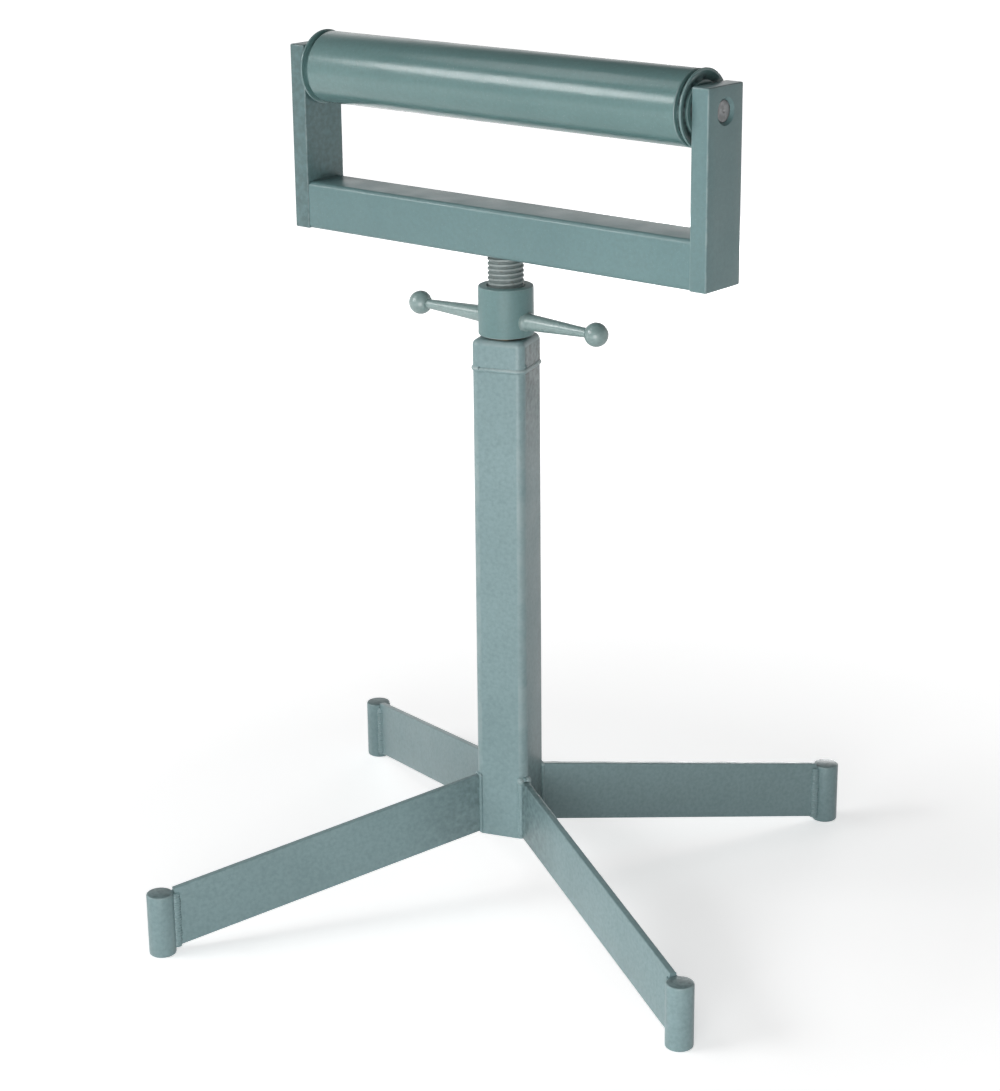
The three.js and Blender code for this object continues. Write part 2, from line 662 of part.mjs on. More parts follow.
// The roller's tube along X, with rounded ends.
function rollerTube() {
  const centre = rollerRadius - ROLLER_EDGE;
  const left = arcPoints(centre, -tubeHalf + ROLLER_EDGE, ROLLER_EDGE, -90, 0, CORNER_STEPS);
  const right = arcPoints(centre, tubeHalf - ROLLER_EDGE, ROLLER_EDGE, 0, 90, CORNER_STEPS);
  const first = [rollerBore, -tubeHalf];
  const profile = [first, ...left, ...right, [rollerBore, tubeHalf], first];
  return turned(profile, LARGE_ROUND).rotateY(Math.PI / 2);
}

function addPart(parent, name, geometry, material) {
  const mesh = new THREE.Mesh(geometry, material.clone());
  mesh.name = name;
  parent.add(mesh);
}

const stand = new THREE.Group();

// Base
const base = new THREE.Group();
base.rotation.z = THREE.MathUtils.degToRad(BASE_TURN);
stand.add(base);
addPart(base, 'column_tube', columnTube(), paint);
addPart(base, 'column_cap', columnCap(), paint);
addPart(base, 'thrust_washer', thrustWasher(), bronze);
const corners = ['rear_right', 'rear_left', 'front_left', 'front_right'];
corners.forEach((corner, index) => {
  const arm = new THREE.Group();
  arm.rotation.z = THREE.MathUtils.degToRad(45 + 90 * index);
  base.add(arm);
  addPart(arm, `leg_${corner}`, leg(), paint);
  addPart(arm, `foot_${corner}`, foot(), paint);
});

// Nut and handle
addPart(stand, 'lifting_nut', nut(), paint);
const ends = [['right', 1], ['left', -1]];
for (const [end, side] of ends) {
  const arm = new THREE.Group();
  arm.rotation.z = side > 0 ? 0 : Math.PI;
  arm.position.z = handleHeight;
  stand.add(arm);
  addPart(arm, `handle_arm_${end}`, handleArm(), paint);
  addPart(arm, `handle_ball_${end}`, handleBall(), paint);
}

// Spindle: its guide lies square in the column
addPart(stand, 'spindle', spindle(), bareSteel);
addPart(base, 'spindle_guide', spindleGuide(), bareSteel);
addPart(base, 'guide_washer', guideWasher(), bareSteel);
addPart(base, 'guide_bolt', guideBolt(), bareSteel);

// Head and roller
addPart(stand, 'cross_rail', rail(), paint);
addPart(stand, 'swivel_socket', swivelSocket(), bareSteel);
const axleLine = new THREE.Group();
axleLine.position.z = axleHeight;
stand.add(axleLine);
addPart(axleLine, 'axle', axle(), bareSteel);
addPart(axleLine, 'roller_tube', rollerTube(), paint);
for (const [end, side] of ends) {
  const facing = new THREE.Group();
  facing.rotation.z = side > 0 ? 0 : Math.PI;
  stand.add(facing);
  addPart(facing, `upright_${end}`, upright(), paint);
  const rollerEnd = new THREE.Group();
  rollerEnd.position.x = side * rollerHalf;
  rollerEnd.rotation.y = -side * Math.PI / 2;
  axleLine.add(rollerEnd);
  addPart(rollerEnd, `retaining_ring_${end}`, retainer(), bearingSteel);
  addPart(rollerEnd, `axle_spacer_${end}`, spacer(), bareSteel);
  addPart(rollerEnd, `bearing_inner_race_${end}`, innerRace(), bearingSteel);
  addPart(rollerEnd, `bearing_outer_race_${end}`, outerRace(), bearingSteel);
  addPart(rollerEnd, `bearing_shield_${end}`, shield(), bearingSteel);
  addPart(rollerEnd, `bearing_cage_${end}`, cage(), cagePlastic);
  addPart(rollerEnd, `roller_housing_${end}`, housing(), paint);
  for (let index = 0; index < BEARING_BALL_COUNT; index += 1) {
    addPart(rollerEnd, `bearing_ball_${end}_${index + 1}`, bearingBall(index), bearingSteel);
  }
}

export default stand;
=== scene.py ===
# A height-adjustable roller stand: a painted steel base, a screw with a collar nut and ball-ended
# handle, and a swivelling head with a long roller. Lengths are metres, in the frame's own axes.
import math

import bmesh
import bpy
from mathutils import Matrix, Vector


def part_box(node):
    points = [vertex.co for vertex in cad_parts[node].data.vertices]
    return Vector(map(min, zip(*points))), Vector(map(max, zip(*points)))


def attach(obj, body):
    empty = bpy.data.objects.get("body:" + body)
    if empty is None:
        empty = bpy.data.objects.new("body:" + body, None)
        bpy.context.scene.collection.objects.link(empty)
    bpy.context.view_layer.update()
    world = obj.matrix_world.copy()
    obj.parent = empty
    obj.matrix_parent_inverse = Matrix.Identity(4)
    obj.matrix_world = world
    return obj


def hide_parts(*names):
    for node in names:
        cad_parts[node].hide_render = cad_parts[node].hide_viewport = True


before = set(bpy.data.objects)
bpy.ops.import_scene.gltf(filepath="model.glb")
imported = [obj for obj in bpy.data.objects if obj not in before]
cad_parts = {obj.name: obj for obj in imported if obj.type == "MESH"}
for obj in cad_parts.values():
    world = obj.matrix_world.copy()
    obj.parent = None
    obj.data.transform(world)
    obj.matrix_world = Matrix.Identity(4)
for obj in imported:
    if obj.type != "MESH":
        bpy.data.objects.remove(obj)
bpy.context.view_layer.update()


# Feet: short lengths of round steel bar, sawn off square and chamfered, standing upright.
# Each one is welded to the end of a leg and sprayed with it in semi-gloss grey-green enamel.
# Their tops are painted darker, as shade.
CORNERS = ("rear_right", "rear_left", "front_left", "front_right")
FOOT_SIDES = 72
FOOT_CHAMFER = 0.0014
FOOT_CHAMFER_STEPS = 3
FOOT_TOP_SHADE = 0.75
SHARP_ANGLE = math.radians(32)
MERGE = 1e-6
MIX_FIRST = 6
MIX_SECOND = 7
MIX_RESULT = 2

# Each grain is a noise's scale and detail. Each spread maps a range of it onto another range.
CLOUD_GRAIN = (9.0, 4.0)
CLOUD_SPREAD = (0.3, 0.7, 0.0, 1.0)
MOTTLE_GRAIN = (310.0, 2.0)
MOTTLE_SPREAD = (0.35, 0.75, 0.0, 0.34)
MOTTLE_COLOUR = (98, 124, 123)
SPECK_GRAIN = (900.0, 1.0)
SPECK_SPREAD = (0.68, 0.76, 0.0, 0.18)
SPECK_COLOUR = (176, 192, 192)
# The pale edge colour is partly wear and partly painted highlight; the darker colour after it is painted
# shade.
RUB_AND_SHEEN_GRAIN = (60.0, 5.0)
RUB_AND_SHEEN_SPREAD = (0.38, 0.62, 0.05, 0.5)
RUB_AND_SHEEN_COLOUR = (164, 182, 183)
PAINTED_SHADE_GRAIN = (210.0, 3.0)
PAINTED_SHADE_SPREAD = (0.34, 0.66, 0.3, 0.8)
PAINTED_SHADE_COLOUR = (58, 74, 75)
GLOSS_GRAIN = (34.0, 3.0)
GLOSS_RANGE = (0.3, 0.7)
GLOSSIER = 0.04
DULLER = 0.07
WAVE_GRAIN = (120.0, 2.0)
WAVE_DEPTH = 0.00012
PEEL_GRAIN = (620.0, 2.0)
PEEL_DEPTH = 0.00007


def linear(red, green, blue):
    """A colour written as seen on a screen, from 0 to 255, turned into linear light by the sRGB curve."""
    shares = [value / 255 for value in (red, green, blue)]
    return [s / 12.92 if s < 0.04045 else ((s + 0.055) / 1.055) ** 2.4 for s in shares] + [1.0]


def new_finish(name):
    material = bpy.data.materials.new(name)
    material.use_nodes = True
    tree = material.node_tree
    return material, tree, tree.nodes["Principled BSDF"]


def feed(tree, socket, value):
    """Sets a socket to a value, or links it to another node's output."""
    if isinstance(value, bpy.types.NodeSocket):
        tree.links.new(value, socket)
    else:
        socket.default_value = value


def place_of(tree):
    return tree.nodes.new("ShaderNodeTexCoord").outputs["Object"]


def noise(tree, place, scale, detail, stretch=None):
    if stretch:
        mapping = tree.nodes.new("ShaderNodeMapping")
        mapping.inputs["Scale"].default_value = stretch
        tree.links.new(place, mapping.inputs["Vector"])
        place = mapping.outputs["Vector"]
    node = tree.nodes.new("ShaderNodeTexNoise")
    node.inputs["Scale"].default_value = scale
    node.inputs["Detail"].default_value = detail
    tree.links.new(place, node.inputs["Vector"])
    return node.outputs["Fac"]


def spread(tree, value, from_low, from_high, to_low, to_high):
    node = tree.nodes.new("ShaderNodeMapRange")
    tree.links.new(value, node.inputs["Value"])
    node.inputs["From Min"].default_value = from_low
    node.inputs["From Max"].default_value = from_high
    node.inputs["To Min"].default_value = to_low
    node.inputs["To Max"].default_value = to_high
    return node.outputs["Result"]


def pattern(tree, place, grain, limits):
    return spread(tree, noise(tree, place, *grain), *limits)


def calculate(tree, operation, first, second):
    node = tree.nodes.new("ShaderNodeMath")
    node.operation = operation
    feed(tree, node.inputs[0], first)
    feed(tree, node.inputs[1], second)
    return node.outputs["Value"]


def blend_colours(tree, share, first, second):
    node = tree.nodes.new("ShaderNodeMix")
    node.data_type = "RGBA"
    feed(tree, node.inputs["Factor"], share)
    feed(tree, node.inputs[MIX_FIRST], first)
    feed(tree, node.inputs[MIX_SECOND], second)
    return node.outputs[MIX_RESULT]


def relief(tree, height, depth, below=None):
    """Turns a height into a bump of the given depth, on top of another bump."""
    node = tree.nodes.new("ShaderNodeBump")
    node.inputs["Distance"].default_value = depth
    tree.links.new(height, node.inputs["Height"])
    if below:
        tree.links.new(below, node.inputs["Normal"])
    return node.outputs["Normal"]


def marked(tree, name):
    """How far a place is marked by its mesh under the given name."""
    node = tree.nodes.new("ShaderNodeAttribute")
    node.attribute_name = name
    return node.outputs["Fac"]


def enamel(name, deep, pale, gloss=0.36, shine=0.5):
    """Sprayed enamel: faint clouds of tone, fine mottling, orange peel, pale edges that are partly wear and
    partly painted highlight, and painted shade.
    """
    material, tree, shader = new_finish(name)
    place = place_of(tree)
    clouds = pattern(tree, place, CLOUD_GRAIN, CLOUD_SPREAD)
    colour = blend_colours(tree, clouds, deep, pale)
    mottle = pattern(tree, place, MOTTLE_GRAIN, MOTTLE_SPREAD)
    colour = blend_colours(tree, mottle, colour, linear(*MOTTLE_COLOUR))
    specks = pattern(tree, place, SPECK_GRAIN, SPECK_SPREAD)
    colour = blend_colours(tree, specks, colour, linear(*SPECK_COLOUR))
    # Pale edges: partly wear, partly painted highlight.
    patches = pattern(tree, place, RUB_AND_SHEEN_GRAIN, RUB_AND_SHEEN_SPREAD)
    rub_and_sheen = calculate(tree, "MULTIPLY", marked(tree, "edge"), patches)
    colour = blend_colours(tree, rub_and_sheen, colour, linear(*RUB_AND_SHEEN_COLOUR))
    # Painted shade where the mesh marks it.
    blotches = pattern(tree, place, PAINTED_SHADE_GRAIN, PAINTED_SHADE_SPREAD)
    shaded = calculate(tree, "MULTIPLY", marked(tree, "painted_shade"), blotches)
    colour = blend_colours(tree, shaded, colour, linear(*PAINTED_SHADE_COLOUR))
    tree.links.new(colour, shader.inputs["Base Color"])
    dull = pattern(tree, place, GLOSS_GRAIN, (*GLOSS_RANGE, gloss - GLOSSIER, gloss + DULLER))
    tree.links.new(dull, shader.inputs["Roughness"])
    waves = relief(tree, noise(tree, place, *WAVE_GRAIN), WAVE_DEPTH)
    peel = relief(tree, noise(tree, place, *PEEL_GRAIN), PEEL_DEPTH, waves)
    tree.links.new(peel, shader.inputs["Normal"])
    shader.inputs["Specular IOR Level"].default_value = shine
    return material


def start_mesh():
    """An empty mesh whose vertices say where a rounded edge is paler, partly wear and partly painted
    highlight, and where shade is painted.
    """
    bm = bmesh.new()
    bm.verts.layers.float.new("edge")
    bm.verts.layers.float.new("painted_shade")
    return bm


def mark(bm, verts, name, amount):
    layer = bm.verts.layers.float[name]
    for vert in verts:
        vert[layer] = amount


def soften(bm, edges, width, steps):
    """Rounds edges, and marks the vertices in the middle of the rounding as pale, partly wear and partly
    painted highlight.
    """
    wear_and_sheen = bm.verts.layers.float["edge"]
    rounded = bmesh.ops.bevel(
        bm, geom=edges, offset=width, offset_type="OFFSET", segments=steps, profile=0.5,
        affect="EDGES", clamp_overlap=True, material=-1,
    )
    band = set(rounded["faces"])
    for vert in rounded["verts"]:
        if all(face in band for face in vert.link_faces):
            vert[wear_and_sheen] = 1.0


def level_edges(bm, height):
    return [e for e in bm.edges if all(abs(v.co.z - height) < MERGE for v in e.verts)]


def add_piece(name, bm, finish, body, nodes=(), place=None):
    """Closes a mesh, sets it in place, and has it ride on a body instead of the nodes it stands for."""
    bmesh.ops.remove_doubles(bm, verts=bm.verts, dist=MERGE)
    many_sided = [f for f in bm.faces if len(f.verts) > 4]
    bmesh.ops.triangulate(bm, faces=many_sided, ngon_method="BEAUTY")
    bmesh.ops.recalc_face_normals(bm, faces=bm.faces)
    if place:
        bmesh.ops.transform(bm, matrix=place, verts=bm.verts)
    mesh = bpy.data.meshes.new(name)
    bm.to_mesh(mesh)
    bm.free()
    mesh.materials.append(finish)
    mesh.shade_smooth()
    mesh.set_sharp_from_angle(angle=SHARP_ANGLE)
    piece = bpy.data.objects.new(name, mesh)
    bpy.context.scene.collection.objects.link(piece)
    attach(piece, body)
    if nodes:
        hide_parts(*nodes)


# The stand is sprayed in one enamel; the base's copy has a lighter tone than the head's, as painted light.
lit_base_enamel = enamel("lit_base_enamel", linear(132, 158, 161), linear(143, 169, 172))
foot_centres = {}
foot_tops = {}
for corner in CORNERS:
    low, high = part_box("foot_" + corner)
    foot_centres[corner] = (low + high) / 2
    foot_tops[corner] = high.z
    foot_radius = min(high.x - low.x, high.y - low.y) / 2
    bm = start_mesh()
    bmesh.ops.create_cone(
        bm, cap_ends=True, segments=FOOT_SIDES, radius1=foot_radius, radius2=foot_radius,
        depth=high.z - low.z, matrix=Matrix.Translation(foot_centres[corner]),
    )
    soften(bm, level_edges(bm, low.z) + level_edges(bm, high.z), FOOT_CHAMFER, FOOT_CHAMFER_STEPS)
    mark(bm, [v for v in bm.verts if abs(v.co.z - high.z) < MERGE], "painted_shade", FOOT_TOP_SHADE)
    add_piece("round_foot_" + corner, bm, lit_base_enamel, "base", ["foot_" + corner])


# Legs: flat steel bar set on edge, cut plumb at both ends and sloping down from the column.
# The rolled edges are a little rounded, and each bar is welded between the column's corner and a foot.
# Three of them are painted darker where they meet the column, as shade.
LEG_THICKNESS = 0.006
LEG_HEIGHT = 0.053
LEG_EDGE = 0.0009
LEG_EDGE_STEPS = 4
LEG_INNER = 0.0301
LEG_FOOT_GAP = 0.0002
LEG_SHADE = {"rear_right": 0.0, "rear_left": 0.3, "front_left": 0.7, "front_right": 1.0}
SHADE_REACH = 0.075


def everything(bm):
    return bm.verts[:] + bm.edges[:] + bm.faces[:]


leg_turns = {}
for corner in CORNERS:
    centre = foot_centres[corner]
    leg_turns[corner] = Matrix.Rotation(math.atan2(centre.y, centre.x), 4, "Z")
    leg_outer = math.hypot(centre.x, centre.y) - foot_radius - LEG_FOOT_GAP
    low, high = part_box("leg_" + corner)
    length = leg_outer - LEG_INNER
    middle = (leg_outer + LEG_INNER) / 2
    bm = start_mesh()
    bmesh.ops.create_cube(bm, size=1.0)
    bmesh.ops.scale(bm, vec=(length, LEG_THICKNESS, LEG_HEIGHT), verts=bm.verts)
    bmesh.ops.translate(bm, vec=(middle, 0, low.z + LEG_HEIGHT / 2), verts=bm.verts)
    inner_end = [v for v in bm.verts if v.co.x < middle]
    bmesh.ops.translate(bm, vec=(0, 0, high.z - low.z - LEG_HEIGHT), verts=inner_end)
    long_edges = [e for e in bm.edges if abs(e.verts[0].co.x - e.verts[1].co.x) > length / 2]
    soften(bm, long_edges, LEG_EDGE, LEG_EDGE_STEPS)
    unshaded_from = (LEG_INNER + SHADE_REACH, 0, 0)
    bmesh.ops.bisect_plane(bm, geom=everything(bm), plane_co=unshaded_from, plane_no=(1, 0, 0))
    mark(bm, [v for v in bm.verts if v.co.x < LEG_INNER + MERGE], "painted_shade", LEG_SHADE[corner])
    add_piece("flat_leg_" + corner, bm, lit_base_enamel, "base", ["leg_" + corner], leg_turns[corner])


# Column: a length of square steel tube with rolled corners, open below.
# It stands a little lower than the legs' upper ends, which are welded to its corners.
# Its enamel is painted darker at both ends of the side that faces right, as shade.
COLUMN_SIDE = 0.046
COLUMN_WALL = 0.0035
COLUMN_CORNER = 0.007
COLUMN_CORNER_STEPS = 10
COLUMN_SHADE = 1.3
COLUMN_SHADE_REACH = 0.1
BASE_TURN = Matrix.Rotation(math.radians(18.8), 4, "Z")
END_FACING = 0.9


def upright_edges(bm):
    return [e for e in bm.edges if abs(e.verts[0].co.z - e.verts[1].co.z) > MERGE]


column_low, column_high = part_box("column_tube")
column_length = column_high.z - column_low.z
bm = start_mesh()
bmesh.ops.create_cube(bm, size=1.0)
bmesh.ops.scale(bm, vec=(COLUMN_SIDE, COLUMN_SIDE, column_length), verts=bm.verts)
bmesh.ops.translate(bm, vec=(0, 0, column_low.z + column_length / 2), verts=bm.verts)
for height in (column_low.z + COLUMN_SHADE_REACH, column_high.z - COLUMN_SHADE_REACH):
    bmesh.ops.bisect_plane(bm, geom=everything(bm), plane_co=(0, 0, height), plane_no=(0, 0, 1))
soften(bm, upright_edges(bm), COLUMN_CORNER, COLUMN_CORNER_STEPS)
ends = [f for f in bm.faces if abs(f.normal.z) > END_FACING]
right_side = [v for v in bm.verts if v.co.x > COLUMN_SIDE / 2 - MERGE]
shaded = [v for v in right_side if min(v.co.z - column_low.z, column_high.z - v.co.z) < MERGE]
mark(bm, shaded, "painted_shade", COLUMN_SHADE)
bmesh.ops.delete(bm, geom=ends, context="FACES")
bmesh.ops.solidify(bm, geom=bm.faces[:], thickness=COLUMN_WALL)
add_piece("square_column", bm, lit_base_enamel, "base", ["column_tube"], BASE_TURN)


# Leg welds: fillets laid by hand down both sides of each leg, at the column and at the foot.
# The steel beads keep their ripples under the enamel, and each starts at the column in a blob painted pale as
# a highlight.
BEAD_SIDES = 14
BEAD_STEP = 0.0007
RIPPLE = 0.0024
SLOW_RIPPLE = 5.3 * RIPPLE
RIPPLE_HEIGHT = 0.05
LEG_DRIFT = 1.7
COLUMN_BEADS = {"rear_right": 0.0019, "rear_left": 0.0019, "front_left": 0.0015, "front_right": 0.003}
COLUMN_BEAD_REACH = 0.0294
COLUMN_BEAD_OFFSET = 0.0031
BLOB_GROWTH = 1.15
BLOB_DROP = 0.7
BLOB_HIGHLIGHT = 1.3
BLOB_DETAIL = 3
FOOT_BEAD = 0.0047
FOOT_BEAD_OFFSET = 0.0012
FOOT_BEAD_REACH = 0.0009
FOOT_BEAD_END = 0.8
FOOT_BEAD_DROP = 0.0014


def lay_bead(bm, path, radius, drift, closed=False, blunt=0.3):
    """Lays a rippled bead of weld along points that are one step apart, with ends as blunt as given."""
    count = len(path)
    ring = bmesh.ops.create_circle(bm, segments=BEAD_SIDES, radius=1.0)["verts"]
    edges = list(dict.fromkeys(e for v in ring for e in v.link_edges))
    first = edges
    before = Matrix()
    for index, point in enumerate(path):
        after = path[(index + 1) % count] if closed or index + 1 < count else point
        behind = path[index - 1] if closed or index else point
        run = index * BEAD_STEP
        swell = 1 + RIPPLE_HEIGHT * math.sin(2 * math.pi * run / RIPPLE + drift)
        swell += RIPPLE_HEIGHT * math.sin(2 * math.pi * run / SLOW_RIPPLE + 2 * drift)
        if not closed:
            inset = min(index, count - 1 - index) * BEAD_STEP / radius
            swell *= blunt + (1 - blunt) * math.sqrt(min(1.0, inset))
        turn = (after - behind).to_track_quat("Z", "Y").to_matrix().to_4x4()
        here = Matrix.Translation(point) @ turn @ Matrix.Scale(radius * swell, 4)
        if index:
            grown = bmesh.ops.extrude_edge_only(bm, edges=edges)["geom"]
            ring = [g for g in grown if isinstance(g, bmesh.types.BMVert)]
            ringed = set(ring)
            edges = [g for g in grown if isinstance(g, bmesh.types.BMEdge) and ringed.issuperset(g.verts)]
        bmesh.ops.transform(bm, matrix=here @ before.inverted(), verts=ring)
        before = here
    if closed:
        bmesh.ops.bridge_loops(bm, edges=first + edges)
    else:
        bmesh.ops.contextual_create(bm, geom=first)
        bmesh.ops.contextual_create(bm, geom=edges)


def straight_path(start, end):
    count = round((end - start).length / BEAD_STEP)
    return [start.lerp(end, index / count) for index in range(count + 1)]


for number, corner in enumerate(CORNERS):
    centre = foot_centres[corner]
    reach = math.hypot(centre.x, centre.y) - foot_radius - FOOT_BEAD_REACH
    low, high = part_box("leg_" + corner)
    bead = COLUMN_BEADS[corner]
    bm = start_mesh()
    for side in (-1, 1):
        drift = LEG_DRIFT * number + side
        top = Vector((COLUMN_BEAD_REACH, side * COLUMN_BEAD_OFFSET, high.z + bead / 2))
        bottom = Vector((COLUMN_BEAD_REACH, side * COLUMN_BEAD_OFFSET, column_low.z + bead / 2))
        lay_bead(bm, straight_path(top, bottom), bead, drift)
        sunk = Matrix.Translation(top - Vector((0, 0, BLOB_DROP * bead)))
        blob = bmesh.ops.create_icosphere(
            bm, subdivisions=BLOB_DETAIL, radius=BLOB_GROWTH * bead, matrix=sunk,
        )
        mark(bm, blob["verts"], "edge", BLOB_HIGHLIGHT)
        top = Vector((reach, side * FOOT_BEAD_OFFSET, foot_tops[corner] - FOOT_BEAD_DROP))
        bottom = Vector((reach, side * FOOT_BEAD_OFFSET, low.z))
        lay_bead(bm, straight_path(top, bottom), FOOT_BEAD, drift, blunt=FOOT_BEAD_END)
    over = Vector((COLUMN_BEAD_REACH, 0, high.z))
    across = Vector((0, COLUMN_BEAD_OFFSET, 0))
    lay_bead(bm, straight_path(over - across, over + across), bead, number)
    add_piece("leg_welds_" + corner, bm, lit_base_enamel, "base", place=leg_turns[corner])


# Cap: a square steel block with rounded upper edges, bored for the spindle, closing the column's top.
# It is held by a bead of weld round its lower edge, whose upper half is painted pale as a highlight, with two
# lumps where runs started, painted dark as the shade of pits.
# Its enamel is painted darker on the side that faces right, as shade.
CAP_SIDE = 0.0464
CAP_CORNER = 0.007
CAP_ROUND = 0.005
CAP_ROUND_STEPS = 6
CAP_BORE = 0.0154
CAP_PATCH = 0.0157
CORNER_MARGIN = 1.3
BORE_MARGIN = 1.1
FOLD_ANGLE = 1.0
HOLE_STEPS = 16
CAP_SHADE = 1.2
SEAM_BEAD = 0.0022
SEAM_SIDE = 0.0445
SEAM_CORNER = 0.0063
SEAM_HIGHLIGHT = 4.0
SEAM_DRIFT = 0.6
SEAM_LUMP = 0.0024
SEAM_LUMP_SHADE = 1.0
SEAM_LUMPS = (Vector((-0.0152, -0.0221, 0.0004)), Vector((0.0221, -0.0165, 0.0038)))


def drill(bm, hole, radius, patch):
    """Opens a round hole in the level face round a point, inside a square patch of the given half width."""
    for way in (Vector((1, 0, 0)), Vector((-1, 0, 0)), Vector((0, 1, 0)), Vector((0, -1, 0))):
        level = [f for f in bm.faces if all(abs(v.co.z - hole.z) < MERGE for v in f.verts)]
        touched = list(dict.fromkeys(g for f in level for g in (f, *f.edges, *f.verts)))
        bmesh.ops.bisect_plane(bm, geom=touched, plane_co=hole + patch * way, plane_no=way)
    middle = min(bm.faces, key=lambda face: (face.calc_center_median() - hole).length)
    square = middle.edges[:]
    bmesh.ops.delete(bm, geom=[middle], context="FACES_ONLY")
    bmesh.ops.subdivide_edges(bm, edges=square, cuts=HOLE_STEPS - 1)
    reach = math.sqrt(2) * patch + MERGE
    border = [e for e in bm.edges if e.is_boundary and all((v.co - hole).length < reach for v in e.verts)]
    drawn_in = bmesh.ops.extrude_edge_only(bm, edges=border)["geom"]
    for vert in [g for g in drawn_in if isinstance(g, bmesh.types.BMVert)]:
        vert.co = hole + (vert.co - hole).normalized() * radius


def flat_plate(bm, width, depth):
    bmesh.ops.create_grid(bm, x_segments=1, y_segments=1, size=0.5)
    bmesh.ops.scale(bm, vec=(width, depth, 1), verts=bm.verts)


def thicken(bm, height):
    """Raises a flat plate into a solid of the given height."""
    raised = bmesh.ops.extrude_face_region(bm, geom=bm.faces[:])["geom"]
    lifted = [g for g in raised if isinstance(g, bmesh.types.BMVert)]
    bmesh.ops.translate(bm, vec=(0, 0, height), verts=lifted)
    bmesh.ops.recalc_face_normals(bm, faces=bm.faces)


def folded_edges(bm, height, beyond):
    """The edges at a height where a flat end turns into a side, outside a hole of the given radius."""
    return [
        e for e in level_edges(bm, height)
        if e.calc_face_angle(0) > FOLD_ANGLE and min(v.co.xy.length for v in e.verts) > beyond
    ]


_, cap_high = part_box("column_cap")
cap_height = cap_high.z - column_high.z
bm = start_mesh()
flat_plate(bm, CAP_SIDE, CAP_SIDE)
drill(bm, Vector((0, 0, 0)), CAP_BORE, CAP_PATCH)
thicken(bm, cap_height)
corners = [e for e in upright_edges(bm) if e.verts[0].co.xy.length > CORNER_MARGIN * CAP_SIDE / 2]
soften(bm, corners, CAP_CORNER, CAP_ROUND_STEPS)
soften(bm, folded_edges(bm, cap_height, BORE_MARGIN * CAP_BORE), CAP_ROUND, CAP_ROUND_STEPS)
mark(bm, [v for v in bm.verts if v.co.x > CAP_SIDE / 2 - MERGE], "painted_shade", CAP_SHADE)
set_on_column = BASE_TURN @ Matrix.Translation((0, 0, column_high.z))
add_piece("column_top_cap", bm, lit_base_enamel, "base", ["column_cap"], set_on_column)

straight = SEAM_SIDE / 2 - SEAM_CORNER
seam = []
for quarter in range(4):
    turn = Matrix.Rotation(quarter * math.pi / 2, 3, "Z")
    run_start = Vector((SEAM_SIDE / 2, -straight, 0))
    run_end = Vector((SEAM_SIDE / 2, straight, 0))
    seam += [turn @ point for point in straight_path(run_start, run_end)]
    arc_steps = round(SEAM_CORNER * math.pi / 2 / BEAD_STEP)
    for index in range(1, arc_steps):
        angle = math.pi / 2 * index / arc_steps
        bend = Vector((math.cos(angle), math.sin(angle), 0)) * SEAM_CORNER
        seam.append(turn @ (Vector((straight, straight, 0)) + bend))
bm = start_mesh()
lay_bead(bm, seam, SEAM_BEAD, SEAM_DRIFT, closed=True)
mark(bm, [v for v in bm.verts if v.co.z > 0], "edge", SEAM_HIGHLIGHT)
for lump in SEAM_LUMPS:
    crater = bmesh.ops.create_icosphere(
        bm, subdivisions=BLOB_DETAIL, radius=SEAM_LUMP, matrix=Matrix.Translation(lump),
    )
    mark(bm, crater["verts"], "painted_shade", SEAM_LUMP_SHADE)
add_piece("cap_seam_weld", bm, lit_base_enamel, "base", place=set_on_column)


# Thrust washer: a flat turned bronze ring that the nut's lower face rides on.
# It lies loose on the cap, round the spindle, and only its dull edge shows.
WASHER_EDGE = 0.0003
FINE_STEPS = 2
TURNED_STEPS = 96
TURNED_SLACK = 1e-5
HANDLED_GRAIN = (85.0, 5.0)
HANDLED_SPREAD = (0.32, 0.68, 0.0, 1.0)
DULLED_GRAIN = (260.0, 3.0)
DULLED_RANGE = (0.3, 0.7)
BRIGHTER = 0.07
DIMMER = 0.09
RING_GRAIN = (420.0, 2.0)
RING_DEPTH = 0.00003
UPRIGHT_STRETCH = (0.25, 0.25, 8.0)
BRONZE_DULL = 0.5


def turn_profile(bm, profile, closed=False, steps=TURNED_STEPS):
    """Spins [radius, height] pairs about Z into a turned body."""
    verts = [bm.verts.new((radius, 0, height)) for radius, height in profile]
    pairs = list(zip(verts, verts[1:]))
    if closed:
        pairs.append((verts[-1], verts[0]))
    edges = [bm.edges.new(pair) for pair in pairs]
    bmesh.ops.spin(
        bm, geom=verts + edges, cent=(0, 0, 0), axis=(0, 0, 1), angle=2 * math.pi, steps=steps,
        use_merge=True,
    )
    bmesh.ops.remove_doubles(bm, verts=bm.verts, dist=MERGE)
    bmesh.ops.recalc_face_normals(bm, faces=bm.faces)


def turned_rim(bm, radius, height):
    """The edges of one circle of a turned body."""
    level = level_edges(bm, height)
    return [e for e in level if all(abs(v.co.xy.length - radius) < TURNED_SLACK for v in e.verts)]


def turned_metal(name, dark, light, dull, stretch):
    """Bare turned metal: fine rings left by the tool, cloudy handling marks and dulled patches."""
    material, tree, shader = new_finish(name)
    place = place_of(tree)
    clouds = pattern(tree, place, HANDLED_GRAIN, HANDLED_SPREAD)
    colour = blend_colours(tree, clouds, dark, light)
    tree.links.new(colour, shader.inputs["Base Color"])
    rough = pattern(tree, place, DULLED_GRAIN, (*DULLED_RANGE, dull - BRIGHTER, dull + DIMMER))
    tree.links.new(rough, shader.inputs["Roughness"])
    rings = noise(tree, place, *RING_GRAIN, stretch)
    tree.links.new(relief(tree, rings, RING_DEPTH), shader.inputs["Normal"])
    shader.inputs["Metallic"].default_value = 1.0
    return material


